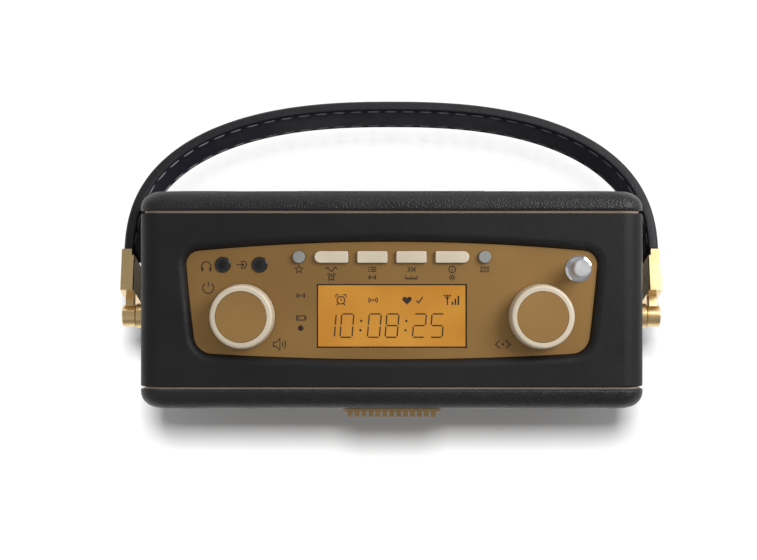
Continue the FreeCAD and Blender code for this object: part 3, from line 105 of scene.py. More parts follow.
# ---------------------------------------------------------------- lights and camera
RADIO_MIDDLE = (0, 0, 0.06)
RADIO_LIGHTS = (                # name, place, size, power
    ("key_light", (0.48, 0.30, 0.58), (0.4, 0.4), 4.2),
    ("fill_light", (-0.9, -0.5, 0.9), (1.2, 1.2), 1.4),
    ("rear_light", (-0.1, 1.1, 0.55), (1.4, 0.5), 2.4),
)
FLOOR_LIGHT = ("floor_light", (0.0, 0.16, 1.1), (0.12, 0.12), 11.8)
FLOOR_REACH = 3.0
WORLD_STRENGTH = 0.8
WORLD_SHADES = ((0.0, 0.25), (0.5, 0.6), (0.75, 0.3), (1.0, 0.5))  # from below to above
CAMERA_LENS = 76.6
CAMERA_SENSOR = 36.0
CAMERA_PLACE = (-5.4 * MM, 8.1 * MM, TOP + 650 * MM)

# ---------------------------------------------------------------- printed lines

PRINT_THICK = 0.03 * MM
PRINT_LINE = 0.44 * MM


# ================================================================ materials
def colour(red, green, blue):
    """A colour as it shows on screen, 0 to 255, turned into a linear one."""
    shares = [value / 255 for value in (red, green, blue)]
    return tuple(c / 12.92 if c <= 0.04045 else ((c + 0.055) / 1.055) ** 2.4
                 for c in shares) + (1.0,)


def plain(name, base, **sockets):
    """A Principled material; every socket named here holds one constant value."""
    material = bpy.data.materials.new(name)
    material.use_nodes = True
    shader = material.node_tree.nodes["Principled BSDF"]
    shader.inputs["Base Color"].default_value = base
    for socket, value in sockets.items():
        shader.inputs[socket.replace("_", " ")].default_value = value
    return material


def shader_of(material):
    return material.node_tree.nodes["Principled BSDF"]


def add(material, kind, settings=None, **sockets):
    """A new node, with its settings and its constant inputs."""
    node = material.node_tree.nodes.new("ShaderNode" + kind)
    for key, value in (settings or {}).items():
        setattr(node, key, value)
    for socket, value in sockets.items():
        node.inputs[socket.replace("_", " ")].default_value = value
    return node


def join(material, output, socket):
    material.node_tree.links.new(output, socket)


def place_of(material):
    """The object's own coordinates, in metres."""
    return add(material, "TexCoord").outputs["Object"]


def noise_of(material, size, detail=2.0, stretch=(1, 1, 1)):
    """Smooth noise whose patches are about one size across."""
    scaled = add(material, "VectorMath", {"operation": "MULTIPLY"})
    join(material, place_of(material), scaled.inputs[0])
    scaled.inputs[1].default_value = stretch
    cloud = add(material, "TexNoise", Scale=1 / size, Detail=detail)
    join(material, scaled.outputs[0], cloud.inputs["Vector"])
    return cloud


def vary_colour(material, source, low, high, spread=(0.35, 0.65)):
    """The base colour runs between two colours with a pattern."""
    ramp = add(material, "ValToRGB")
    ramp.color_ramp.elements[0].position, ramp.color_ramp.elements[1].position = spread
    ramp.color_ramp.elements[0].color, ramp.color_ramp.elements[1].color = low, high
    join(material, source, ramp.inputs[0])
    join(material, ramp.outputs[0], shader_of(material).inputs["Base Color"])


def vary_roughness(material, source, low, high):
    spread = add(material, "MapRange", From_Min=0.3, From_Max=0.7, To_Min=low, To_Max=high)
    join(material, source, spread.inputs["Value"])
    join(material, spread.outputs[0], shader_of(material).inputs["Roughness"])


def bump(material, height, depth, below=None, strength=1.0):
    """Relief of a given depth, laid over an earlier bump if there is one."""
    relief = add(material, "Bump", Strength=strength, Distance=depth)
    join(material, height, relief.inputs["Height"])
    if below is not None:
        join(material, below.outputs[0], relief.inputs["Normal"])
    join(material, relief.outputs[0], shader_of(material).inputs["Normal"])
    return relief


def pebbles(material, size, uneven=0.35):
    """Rounded cells of uneven shape, high in the middle, as in leather grain."""
    wander = noise_of(material, size * 2.2, 1.0)
    shift = add(material, "VectorMath", {"operation": "MULTIPLY_ADD"})
    join(material, wander.outputs["Color"], shift.inputs[0])
    shift.inputs[1].default_value = (size * uneven,) * 3
    join(material, place_of(material), shift.inputs[2])
    cells = add(material, "TexVoronoi", {"feature": "DISTANCE_TO_EDGE"}, Scale=1 / size)
    join(material, shift.outputs[0], cells.inputs["Vector"])
    height = add(material, "MapRange", {"interpolation_type": "SMOOTHSTEP"},
                 From_Min=0.0, From_Max=0.32, To_Min=0.0, To_Max=1.0)
    join(material, cells.outputs["Distance"], height.inputs["Value"])
    return height.outputs[0]


def leather(name, base, size, depth, rough, light=1.35, **sockets):
    """Grained leathercloth: pebbles over a soft unevenness, lighter on the grain's raised tops and
    darker in its hollows.
    """
    material = plain(name, base, **sockets)
    grain = pebbles(material, size)
    cloud = noise_of(material, 18 * MM, 3.0)
    high = tuple(min(1, c * light) for c in base[:3]) + (1.0,)
    low = tuple(c * 0.82 for c in base[:3]) + (1.0,)
    both = add(material, "Math", {"operation": "MULTIPLY_ADD"})
    join(material, grain, both.inputs[0])
    both.inputs[1].default_value = 0.35
    join(material, cloud.outputs["Fac"], both.inputs[2])
    vary_colour(material, both.outputs[0], low, high, (0.35, 1.0))
    vary_roughness(material, cloud.outputs["Fac"], rough - 0.06, rough + 0.08)
    soft = bump(material, noise_of(material, 5 * MM, 2.0).outputs["Fac"], 0.10 * MM)
    fine = bump(material, noise_of(material, 0.25 * MM, 2.0).outputs["Fac"], 0.012 * MM, soft)
    bump(material, grain, depth, fine)
    return material


def metal(name, base, rough, size=1.5 * MM, depth=0.004 * MM, stretch=(1, 1, 1), **sockets):
    """Plated metal with a faint unevenness and handling marks in its gloss."""
    material = plain(name, base, Metallic=1.0, **sockets)
    cloud = noise_of(material, 9 * MM, 4.0)
    dark = tuple(c * 0.88 for c in base[:3]) + (1.0,)
    vary_colour(material, cloud.outputs["Fac"], dark, base)
    vary_roughness(material, cloud.outputs["Fac"], rough * 0.75, rough * 1.35)
    bump(material, noise_of(material, size, 2.0, stretch).outputs["Fac"], depth)
    return material


def plastic(name, base, rough, grain=0.3 * MM, depth=0.004 * MM, shade=0.9, **sockets):
    """Moulded plastic: a fine texture, and a slight drift of tone and gloss."""
    material = plain(name, base, **sockets)
    cloud = noise_of(material, 14 * MM, 3.0)
    dark = tuple(c * shade for c in base[:3]) + (1.0,)
    vary_colour(material, cloud.outputs["Fac"], dark, base)
    vary_roughness(material, cloud.outputs["Fac"], rough - 0.04, rough + 0.06)
    bump(material, noise_of(material, grain, 1.0).outputs["Fac"], depth)
    return material


def gold_paint(name, low, high):
    """Satin metallic paint: fine flakes in the gloss over an even tone."""
    material = plain(name, high, Metallic=0.45, Coat_Weight=0.12, Coat_Roughness=0.35)
    cloud = noise_of(material, 40 * MM, 2.0)
    vary_colour(material, cloud.outputs["Fac"], low, high)
    flakes = noise_of(material, 0.12 * MM, 1.0)
    vary_roughness(material, flakes.outputs["Fac"], 0.40, 0.52)
    bump(material, flakes.outputs["Fac"], 0.003 * MM)
    return material


def wood(name):
    """Plain birch ply inside the case."""
    material = plain(name, colour(186, 150, 104), Roughness=0.6)
    rings = add(material, "TexWave", {"bands_direction": "Z"}, Scale=260.0, Distortion=3.0,
                Detail=2.0)
    join(material, place_of(material), rings.inputs["Vector"])
    vary_colour(material, rings.outputs["Fac"], colour(160, 122, 80), colour(196, 160, 116))
    bump(material, noise_of(material, 0.6 * MM, 2.0, (0.1, 1, 1)).outputs["Fac"], 0.02 * MM)
    return material


def woven(name, low, high, pitch, depth, rough=0.85, axes=("X", "Z")):
    """A plain weave: two sets of threads that cross over and under."""
    material = plain(name, high, Roughness=rough, Sheen_Weight=0.2)
    waves = []
    for axis in axes:
        wave = add(material, "TexWave", {"bands_direction": axis}, Scale=0.314 / pitch)
        join(material, place_of(material), wave.inputs["Vector"])
        waves.append(wave.outputs["Fac"])
    cross = add(material, "Math", {"operation": "MULTIPLY"})
    join(material, waves[0], cross.inputs[0])
    join(material, waves[1], cross.inputs[1])
    vary_colour(material, cross.outputs[0], low, high, (0.1, 0.7))
    bump(material, cross.outputs[0], depth)
    return material


def lit_amber(name):
    """The display's backlight: an amber glow, a little brighter in places at random."""
    material = plain(name, colour(40, 22, 6), Roughness=0.9)
    cloud = noise_of(material, 22 * MM, 1.0)
    ramp = add(material, "ValToRGB")
    ramp.color_ramp.elements[0].position, ramp.color_ramp.elements[1].position = 0.3, 0.7
    ramp.color_ramp.elements[0].color = colour(186, 122, 30)
    ramp.color_ramp.elements[1].color = colour(200, 140, 44)
    join(material, cloud.outputs["Fac"], ramp.inputs[0])
    shader = shader_of(material)
    join(material, ramp.outputs[0], shader.inputs["Emission Color"])
    shader.inputs["Emission Strength"].default_value = 1.02
    return material


def clear_lens(name):
    material = plain(name, (1, 1, 1, 1), Transmission_Weight=1.0, IOR=1.3)
    vary_roughness(material, noise_of(material, 20 * MM, 2.0).outputs["Fac"], 0.0, 0.03)
    return material


def printed_board(name):
    material = plain(name, colour(24, 84, 50), Roughness=0.4, Coat_Weight=0.3)
    tracks = add(material, "TexVoronoi", {"distance": "MANHATTAN"}, Scale=1 / (4 * MM))
    join(material, place_of(material), tracks.inputs["Vector"])
    vary_colour(material, tracks.outputs["Distance"], colour(18, 70, 40), colour(34, 104, 64))
    return material


def make_materials():
    """One material for each slot of the record, by the slot's name, and a few finer ones."""
    black = colour(30, 30, 31)
    made = {
        "leathercloth": leather("leathercloth_black", colour(27, 27, 28), 0.75 * MM, 0.020 * MM,
                                0.50, 1.2, Specular_IOR_Level=0.28),
        "padded_leathercloth": leather("leathercloth_padded", colour(24, 23, 26), 1.25 * MM,
                                       0.10 * MM, 0.42, Specular_IOR_Level=0.45),
        "strap_leather": leather("strap_leather_black", colour(22, 21, 26), 0.9 * MM,
                                 0.06 * MM, 0.46, Specular_IOR_Level=0.4),
        "lining": leather("strap_lining_dark", colour(27, 22, 46), 0.35 * MM, 0.008 * MM,
                          0.55, 1.15, Specular_IOR_Level=0.4),
        "wood": wood("ply_wood"),
        "piping": plastic("piping_beige", colour(206, 190, 176), 0.4, Specular_IOR_Level=0.5),
        "brass": metal("brass_polished", colour(244, 212, 156), 0.24, 3 * MM, 0.010 * MM),
        "gold_panel": gold_paint("panel_gold_paint", colour(148, 112, 60), colour(160, 122, 67)),
        "cream": plastic("cream_plastic", colour(226, 212, 188), 0.34, Subsurface_Weight=0.05,
                         Subsurface_Scale=1.0 * MM, Coat_Weight=0.15, Coat_Roughness=0.2),
        "grey_key": plastic("key_grey_plastic", colour(152, 154, 150), 0.36),
        "clear": clear_lens("lens_clear"),
        "display": plastic("display_glass_dark", colour(52, 33, 16), 0.3),
        "black_plastic": plastic("plastic_black", black, 0.32, 0.5 * MM, 0.015 * MM),
        "chrome": metal("chrome_polished", colour(226, 227, 230), 0.07, 4 * MM, 0.002 * MM),
        "steel": metal("steel_zinc", colour(176, 178, 180), 0.32),
        "board_green": printed_board("board_green_mask"),
        "shield": metal("shield_tin", colour(186, 188, 190), 0.38),
        "cable": plastic("cable_sleeve", colour(44, 46, 52), 0.5),
        "paper_cone": leather("paper_cone_black", colour(38, 37, 36), 0.5 * MM, 0.03 * MM, 0.8),
        "foam_roll": leather("foam_roll_black", colour(26, 26, 26), 0.4 * MM, 0.03 * MM, 0.9),
        "grille_cloth": woven("grille_cloth_black", colour(10, 10, 11), colour(46, 44, 42),
                              0.9 * MM, 0.06 * MM),
        "grille_metal": metal("grille_gold", colour(132, 104, 62), 0.42, 0.4 * MM, 0.010 * MM),
        "rubber": plastic("foot_rubber", colour(24, 24, 25), 0.7, 0.5 * MM, 0.03 * MM),
        "magnet": metal("magnet_zinc", colour(140, 142, 144), 0.4),
        "lamp": plastic("lamp_dark", colour(54, 30, 16), 0.25),
    }
    extra = {
        "disc": gold_paint("knob_disc_gold_paint", colour(160, 122, 70), colour(172, 132, 76)),
        "brushed": metal("aerial_cap_brushed", colour(232, 232, 234), 0.34, 0.25 * MM,
                         0.012 * MM, (1, 0.08, 1)),
        "print": plastic("print_brown", colour(48, 29, 12), 0.6),
        "segments": plastic("segments_dark", colour(38, 19, 4), 0.6),
        "amber": lit_amber("display_amber_lit"),
        "thread": woven("stitch_thread_grey", colour(130, 128, 132), colour(190, 188, 192),
                        0.5 * MM, 0.05 * MM, 0.8, ("X", "Y")),
        # The badge bar's brass is darkened all over: partly painted shade for the gaps between its
        # raised letters, partly the tone of its dark lettering, which is left out.
        "bar": metal("brass_dark_letters_and_gap_shade", colour(176, 146, 102), 0.3, 3 * MM, 0.010 * MM),
        "socket": plastic("socket_gloss_black", colour(14, 14, 15), 0.12, Coat_Weight=0.6),
        "door": plastic("door_black_texture", colour(30, 30, 31), 0.42, 0.7 * MM, 0.05 * MM),
    }
    return made, extra


SLOTS, EXTRA = make_materials()
OWN_FINISH = {
    "volume_disc": "disc", "tuning_disc": "disc", "aerial_tip": "brushed",
    "headphone_socket": "socket", "line_in_socket": "socket", "dc_socket": "socket",
    "battery_door": "door", "badge_bar": "bar",
}


def dress_cad_nodes():
    """Each CAD node that shows takes the material of its slot, or one of its own."""
    for name, obj in NODES.items():
        for place in obj.material_slots:
            slot = place.material.name.split(".")[0]
            place.material = EXTRA[OWN_FINISH[name]] if name in OWN_FINISH else SLOTS[slot]


# ================================================================ mesh helpers
def new_piece(name, verts, faces, material, body, smooth=True):
    """A mesh object that rides on a body."""
    mesh = bpy.data.meshes.new(name)
    mesh.from_pydata([tuple(v) for v in verts], [], faces)
    mesh.materials.append(material)
    mesh.polygons.foreach_set("use_smooth", [smooth] * len(mesh.polygons))
    mesh.update()
    piece = bpy.data.objects.new(name, mesh)
    bpy.context.scene.collection.objects.link(piece)
    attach(piece, body)
    return piece


def outward(piece):
    """Turn every face outwards."""
    work = bmesh.new()
    work.from_mesh(piece.data)
    bmesh.ops.recalc_face_normals(work, faces=work.faces)
    work.to_mesh(piece.data)
    work.free()


def bake_modifiers(piece):
    """Replace the piece's mesh by what its modifiers make of it."""
    graph = bpy.context.evaluated_depsgraph_get()
    mesh = bpy.data.meshes.new_from_object(piece.evaluated_get(graph))
    piece.modifiers.clear()
    piece.data = mesh


def tube_faces(rings, around, close_rings):
    """Quads between successive rings of points; the last ring may join the first."""
    faces = []
    for i in range(rings if close_rings else rings - 1):
        a, b = i * around, (i + 1) % rings * around
        for j in range(around):
            k = (j + 1) % around
            faces.append((a + j, a + k, b + k, b + j))
    return faces


# ================================================================ padded panels
CORNER_STEPS = 10
SIDE_STEPS = 36


def ring_of(x0, x1, z0, z1, radius):
    """Points round a rounded rectangle in X and Z, the same number for every size."""
    points = []
    corners = [(x1 - radius, z1 - radius, 0), (x0 + radius, z1 - radius, 90),
               (x0 + radius, z0 + radius, 180), (x1 - radius, z0 + radius, 270)]
    for index, (cx, cz, turn) in enumerate(corners):
        for step in range(CORNER_STEPS + 1):
            angle = math.radians(turn + 90 * step / CORNER_STEPS)
            points.append((cx + radius * math.cos(angle), cz + radius * math.sin(angle)))
        nx, nz, following = corners[(index + 1) % 4]
        angle = math.radians(following)
        goal = (nx + radius * math.cos(angle), nz + radius * math.sin(angle))
        last = points[-1]
        for step in range(1, SIDE_STEPS):
            share = step / SIDE_STEPS
            points.append((last[0] + (goal[0] - last[0]) * share,
                           last[1] + (goal[1] - last[1]) * share))
    return points


def between(first, second, share, inset):
    """A rounded rectangle between two others, drawn in by an inset."""
    mixed = [a + (b - a) * share for a, b in zip(first, second)]
    x0, x1, z0, z1, radius = mixed
    return (x0 + inset, x1 - inset, z0 + inset, z1 - inset, max(radius - inset * 0.2, 1.2 * MM))


def pad_profile(thick, lip, window_floor):
    """The padding's section from the outer edge to the window: share across, inset, height."""
    section = [(0, 0, 0), (0, 0, thick * 0.12)]
    for step in range(9):
        angle = math.radians(90 * step / 8)
        section.append((0, PAD_ROUND * (1 - math.cos(angle)),
                        thick - PAD_ROUND + PAD_ROUND * math.sin(angle)))
    for step in range(1, 12):
        share = step / 12
        swell = PAD_CROWN * math.sin(math.pi * share) ** 0.7
        section.append((share, PAD_ROUND * (1 - share) - lip * share, thick + swell))
    for step in range(7):
        angle = math.radians(90 * step / 6)
        section.append((1, -lip * (1 - math.sin(angle)),
                        thick - lip + lip * math.cos(angle) if lip else thick))
    section.append((1, 0, window_floor))
    return section


def padded_ring(name, node, outer, window, profile, side, base):
    """A padded panel swept round its window, from the section's points."""
    verts = []
    for share, inset, height in profile:
        for x, z in ring_of(*between(outer, window, share, inset)):
            verts.append(Vector((x, base + side * height, z)))
    around = len(ring_of(*outer))
    faces = tube_faces(len(profile), around, True)
    piece = new_piece(name, verts, faces, SLOTS["padded_leathercloth"], "root")
    outward(piece)
    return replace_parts(piece, node)


def ruffle(piece, amount, size):
    """Slight unevenness of stretched padding, the same on every run."""
    normals = [vertex.normal.copy() for vertex in piece.data.vertices]
    for vertex, normal in zip(piece.data.vertices, normals):
        vertex.co += normal * amount * noise.noise(vertex.co / size)


def cylinder_cutter(name, radius, centre, length):
    """A many-sided cylinder along Y that cuts a hole and is then removed."""
    work = bmesh.new()
    turn = Matrix.Translation(centre) @ Matrix.Rotation(math.radians(90), 4, "X")
    bmesh.ops.create_cone(work, cap_ends=True, segments=48, radius1=radius, radius2=radius,
                          depth=length, matrix=turn)
    mesh = bpy.data.meshes.new(name)
    work.to_mesh(mesh)
    work.free()
    cutter = bpy.data.objects.new(name, mesh)
    bpy.context.scene.collection.objects.link(cutter)
    return cutter


def cut_holes(piece, holes, length):
    """Cut round holes along Y through a piece: each hole is a centre and a radius."""
    for centre, radius in holes:
        cutter = cylinder_cutter("cutter", radius, centre, length)
        cut = piece.modifiers.new("hole", "BOOLEAN")
        cut.operation, cut.object, cut.solver = "DIFFERENCE", cutter, "EXACT"
        bake_modifiers(piece)
        bpy.data.objects.remove(cutter)


def make_front_pad():
    """Padded surround of the grille, rolled over its outer edge and into the window."""
    outer = (FRONT_LOW.x, FRONT_HIGH.x, FRONT_LOW.z, FRONT_HIGH.z, CASE_CORNER)
    window = (GRILLE_LOW.x - GRILLE_GAP, GRILLE_HIGH.x + GRILLE_GAP, GRILLE_LOW.z - GRILLE_GAP,
              GRILLE_HIGH.z + GRILLE_GAP, WINDOW_ROUND)
    thick = FRONT_HIGH.y - FRONT_LOW.y
    step = BAFFLE_HIGH.y - BAFFLE_LOW.y + 0.05 * MM
    inside = (BAFFLE_LOW.x - FRONT_LOW.x) - 0.1 * MM
    profile = pad_profile(thick, PAD_LIP, step) + [(0, inside, step), (0, inside, 0)]
    pad = padded_ring("front_padding", "front_surround", outer, window, profile, -1,
                      FRONT_HIGH.y)
    ruffle(pad, PAD_UNEVEN, PAD_UNEVEN_SIZE)
    return pad


def make_rear_pad():
    """Padded rear panel with the battery box in its middle, its screws and its socket."""
    outer = (REAR_LOW.x, REAR_HIGH.x, REAR_LOW.z, REAR_HIGH.z, CASE_CORNER)
    window = (FLANGE_HIGH.x * -1 + FLANGE_WIDTH, FLANGE_HIGH.x - FLANGE_WIDTH,
              FLANGE_LOW.z + FLANGE_WIDTH, FLANGE_HIGH.z - FLANGE_WIDTH, 1.5 * MM)
    thick = REAR_HIGH.y - REAR_LOW.y
    profile = pad_profile(thick, 0.0, 0.0)
    pad = padded_ring("rear_padding", "rear_panel", outer, window, profile, 1, REAR_LOW.y)
    ruffle(pad, PAD_UNEVEN, PAD_UNEVEN_SIZE)
    middle = (REAR_LOW.y + REAR_HIGH.y) / 2
    holes = [(Vector((x, middle, z)), SCREW_HEAD + SCREW_HOLE_GAP)
             for x in (SCREWS_LOW.x + SCREW_HEAD, SCREWS_HIGH.x - SCREW_HEAD)
             for z in (SCREWS_LOW.z + SCREW_HEAD, SCREWS_HIGH.z - SCREW_HEAD)]
    socket = Vector(((DC_LOW.x + DC_HIGH.x) / 2, middle, (DC_LOW.z + DC_HIGH.z) / 2))
    holes.append((socket, DC_NECK + DC_NECK_GAP))
    cut_holes(pad, holes, 2.5 * thick)
    return pad


def make_speaker_cloth():
    """Black cloth stretched over the baffle behind the grille."""
    steps_x, steps_z = 120, 56
    y = (CLOTH_LOW.y + CLOTH_HIGH.y) / 2
    wide, high = CLOTH_HIGH.x - CLOTH_LOW.x, CLOTH_HIGH.z - CLOTH_LOW.z
    verts = []
    for i in range(steps_z + 1):
        for j in range(steps_x + 1):
            lift = 0.04 * MM * (1 if (i + j) % 2 else -1)
            verts.append((CLOTH_LOW.x + wide * j / steps_x, y + lift,
                          CLOTH_LOW.z + high * i / steps_z))
    row = steps_x + 1
    faces = [(i * row + j, i * row + j + 1, (i + 1) * row + j + 1, (i + 1) * row + j)
             for i in range(steps_z) for j in range(steps_x)]
    cloth = new_piece("speaker_cloth", verts, faces, SLOTS["grille_cloth"], "root")
    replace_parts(cloth, "grille_cloth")
    return cloth


# ================================================================ handle
FOLDED = Matrix.Translation(PIVOT) @ Matrix.Rotation(HANDLE_FOLD, 4, "X")


def arch_line(count=1200):
    """The arch's outer curve from right to left: place and outward direction of each point."""
    line = []
    for index in range(count + 1):
        turn = math.pi * index / count
        cosine, sine = math.cos(turn), math.sin(turn)
        across = math.copysign(abs(cosine) ** (2 / ARCH_POWER), cosine)
        up = abs(sine) ** (2 / ARCH_POWER)
        normal = Vector((math.copysign(abs(across) ** (ARCH_POWER - 1), across)
                         / ARCH_HALF_WIDTH, 0, up ** (ARCH_POWER - 1) / ARCH_RISE))
        spot = Vector((ARCH_HALF_WIDTH * across, 0, ARCH_START + ARCH_RISE * up))
        line.append((spot, normal.normalized()))
    return line


def evenly(line, pitch, offset=0.0):
    """Points of a line at an even distance apart, measured along it."""
    lengths = [0.0]
    for (a, _), (b, _) in zip(line, line[1:]):
        lengths.append(lengths[-1] + (b - a).length)
    count = max(2, round((lengths[-1] - 2 * offset) / pitch))
    chosen, at = [], 0
    for index in range(count + 1):
        goal = offset + (lengths[-1] - 2 * offset) * index / count
        while at < len(lengths) - 2 and lengths[at + 1] < goal:
            at += 1
        share = (goal - lengths[at]) / (lengths[at + 1] - lengths[at])
        (a, na), (b, nb) = line[at], line[at + 1]
        chosen.append((a.lerp(b, share), na.lerp(nb, share).normalized()))
    return chosen


def visible_arch():
    """The part of the arch between the two clasps."""
    return [(spot, normal) for spot, normal in arch_line() if spot.z > CLASP_END]


def strap_section(width, top, bottom, dome, rim):
    """Closed outline of the strap across its width: (across, depth below the outer face).

    The leather is turned over the lining's edges, where it stands higher by the rim.
    """
    half = width / 2
    edge = min(1.9 * MM, (bottom - top) * 0.45)
    outline = []
    for step in range(17):
        across = (-1 + 2 * step / 16) * (half - edge)
        share = abs(across) / half
        groove = 0.14 * MM * math.exp(-((abs(across) - STITCH_ROW) / (0.7 * MM)) ** 2)
        outline.append((across, top + dome * share ** 3 + (groove if dome else 0)))
    start = outline[-1][1]
    for step in range(1, 9):
        angle = math.radians(90 - 90 * step / 8)
        outline.append((half - edge + edge * math.cos(angle), start + edge * (1 - math.sin(angle))))
    low = bottom + rim
    round_in = min(0.9 * MM, (low - start) * 0.3)
    for step in range(0, 6):
        angle = math.radians(90 * step / 5)
        outline.append((half - round_in + round_in * math.cos(angle),
                        low - round_in + round_in * math.sin(angle)))
    seam = half - (STRAP_WIDTH - LINING_WIDTH) / 2
    outline += [(seam + 0.25 * MM, low), (seam, low - 0.6 * rim), (seam - 0.02 * MM, bottom)]
    mirrored = [(-across, depth) for across, depth in outline[17:]][::-1]
    return outline + [(0.0, bottom)] + mirrored


def sweep(name, stations, sections, material):
    """A band made of one closed section at each station, with closed ends."""
    verts = []
    for (spot, normal), section in zip(stations, sections):
        for across, depth in section:
            verts.append(FOLDED @ (spot - normal * depth + Vector((0, across, 0))))
    around = len(sections[0])
    faces = tube_faces(len(stations), around, False)
    faces.append(tuple(range(around))[::-1])
    faces.append(tuple(range(len(verts) - around, len(verts))))
    piece = new_piece(name, verts, faces, material, "handle")
    outward(piece)
    return piece


def leg_stations(side):
    """Stations down one leg, from just above the clasp's mouth to the tongue's foot."""
    normal = Vector((side, 0, 0))
    heights = (CLASP_END - 0.05 * MM, CLASP_END - 0.3 * MM, CLASP_END - 3 * MM, TONGUE_START)
    return [(Vector((side * ARCH_HALF_WIDTH, 0, height)), normal) for height in heights]


def make_strap():
    """Leather wrap: domed outer face, rolled edges, and a thin tongue in each clasp."""
    curve = evenly(visible_arch(), STATION_PITCH)
    full = strap_section(STRAP_WIDTH, 0.0, STRAP_THICK, STRAP_DOME, LINING_THICK + 0.05 * MM)
    mouth = strap_section(STRAP_WIDTH - 1.2 * MM, 0.7 * MM, STRAP_THICK - 0.3 * MM, STRAP_DOME,
                          0.02 * MM)
    tongue = strap_section(TONGUE_WIDTH, *TONGUE_DEPTH, 0.0, 0.02 * MM)
    right, left = leg_stations(1), leg_stations(-1)
    stations = right[::-1] + curve + left
    leg = [tongue, tongue, tongue, mouth]
    sections = leg + [full] * len(curve) + leg[::-1]
    strap = sweep("strap_wrap", stations, sections, SLOTS["strap_leather"])
    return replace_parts(strap, "handle_strap")


def make_lining():
    """Smooth lining strip on the strap's inner face, a little crowned."""
    curve = evenly(visible_arch(), STATION_PITCH, 0.4 * MM)
    half = LINING_WIDTH / 2
    section = []
    for step in range(21):
        across = (-1 + 2 * step / 20) * half
        fall = 0.15 * MM * (abs(across) / half) ** 8
        groove = 0.16 * MM * math.exp(-((abs(across) - STITCH_ROW) / (0.5 * MM)) ** 2)
        section.append((across, STRAP_THICK + LINING_THICK - fall - groove))
    section += [(half, STRAP_THICK - 0.1 * MM), (-half, STRAP_THICK - 0.1 * MM)]
    lining = sweep("strap_lining", curve, [section] * len(curve), SLOTS["lining"])
    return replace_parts(lining, "handle_lining")


def capsule(verts, faces, start, end, radius):
    """One stitch: a short round-ended thread between two points."""
    along = (end - start).normalized()
    side = along.cross(Vector((0, 0, 1)))
    side = (side if side.length > 0.1 else along.cross(Vector((0, 1, 0)))).normalized()
    other = along.cross(side)
    profile = [(0.0, 0.35), (0.12, 0.8), (0.3, 1.0), (0.7, 1.0), (0.88, 0.8), (1.0, 0.35)]
    base = len(verts)
    for share, grow in profile:
        middle = start.lerp(end, share)
        for step in range(8):
            angle = math.tau * step / 8
            verts.append(middle + (side * math.cos(angle) + other * math.sin(angle))
                         * radius * grow)
    faces += [tuple(base + index for index in face)
              for face in tube_faces(len(profile), 8, False)]
    faces.append(tuple(base + index for index in range(8))[::-1])
    faces.append(tuple(base + 8 * (len(profile) - 1) + index for index in range(8)))


def make_stitches():
    """Four rows of thread: two on the strap's outer face and two on its lining."""
    random.seed(11)
    outer_depth = STRAP_DOME * (2 * STITCH_ROW / STRAP_WIDTH) ** 3 + STITCH_SINK
    inner_depth = STRAP_THICK + LINING_THICK - STITCH_SINK_INSIDE
    verts, faces = [], []
    share = STITCH_LENGTH / STITCH_PITCH
    for depth in (outer_depth, inner_depth):
        for row in (-STITCH_ROW, STITCH_ROW):
            line = [(spot - normal * depth, normal) for spot, normal in visible_arch()]
            marks = evenly(line, STITCH_PITCH, 1.5 * MM)
            for (a, _), (b, _) in zip(marks, marks[1:]):
                drift = Vector((0, row + random.uniform(-0.08, 0.08) * MM, 0))
                start = a.lerp(b, (1 - share) / 2) + drift
                end = a.lerp(b, (1 + share) / 2) + drift
                capsule(verts, faces, FOLDED @ start, FOLDED @ end, STITCH_RADIUS)
    stitches = new_piece("strap_stitches", verts, faces, EXTRA["thread"], "handle")
    outward(stitches)
    return stitches


# ================================================================ printed marks
class Print:
    """Marks on a level face: flat outlines with a hair of thickness."""

    def __init__(self, height):
        self.low, self.high = height, height + PRINT_THICK
        self.verts, self.faces = [], []

    def shape(self, outline):
        """A filled outline."""
        base, count = len(self.verts), len(outline)
        for z in (self.low, self.high):
            self.verts += [(x, y, z) for x, y in outline]
        self.faces.append(tuple(base + i for i in range(count))[::-1])
        self.faces.append(tuple(base + count + i for i in range(count)))
        for i in range(count):
            j = (i + 1) % count
            self.faces.append((base + i, base + j, base + count + j, base + count + i))

    def line(self, points, width=PRINT_LINE, closed=False):
        """A stroke along points, with square ends."""
        count = len(points)
        sides = []
        for i, (x, y) in enumerate(points):
            ahead = points[(i + 1) % count] if closed or i < count - 1 else None
            behind = points[i - 1] if closed or i > 0 else None
            runs = []
            if behind:
                runs.append(Vector((x - behind[0], y - behind[1])).normalized())
            if ahead:
                runs.append(Vector((ahead[0] - x, ahead[1] - y)).normalized())
            along = sum(runs, Vector((0, 0))).normalized()
            stretch = 1 / max(0.5, abs(along.dot(runs[0])))
            across = Vector((-along.y, along.x)) * width / 2 * stretch
            sides.append(((x + across.x, y + across.y), (x - across.x, y - across.y)))
        for i in range(count if closed else count - 1):
            (a, b), (c, d) = sides[i], sides[(i + 1) % count]
            self.shape([b, d, c, a])

    def arc(self, x, y, radius, start, end, width=PRINT_LINE):
        """Part of a ring, between two angles in degrees."""
        steps = max(4, round(abs(end - start) / 15))
        points = [(x + radius * math.cos(math.radians(start + (end - start) * i / steps)),
                   y + radius * math.sin(math.radians(start + (end - start) * i / steps)))
                  for i in range(steps + 1)]
        self.line(points, width)

    def ring(self, x, y, radius, width=PRINT_LINE):
        points = [(x + radius * math.cos(math.tau * i / 24),
                   y + radius * math.sin(math.tau * i / 24)) for i in range(24)]
        self.line(points, width, True)

    def dot(self, x, y, radius):
        self.shape([(x + radius * math.cos(math.tau * i / 16),
                     y + radius * math.sin(math.tau * i / 16)) for i in range(16)])

    def piece(self, name, material):
        marks = new_piece(name, self.verts, self.faces, material, "root", smooth=False)
        outward(marks)
        return marks


def draw_headphones(ink, x, y, size):
    ink.arc(x, y, size, 0, 180)
    for side in (-1, 1):
        ink.line([(x + side * size, y), (x + side * size, y - 0.45 * size)])
        ink.line([(x + side * 0.86 * size, y - 0.2 * size), (x + side * 0.86 * size, y - size)],
                 2.0 * PRINT_LINE)


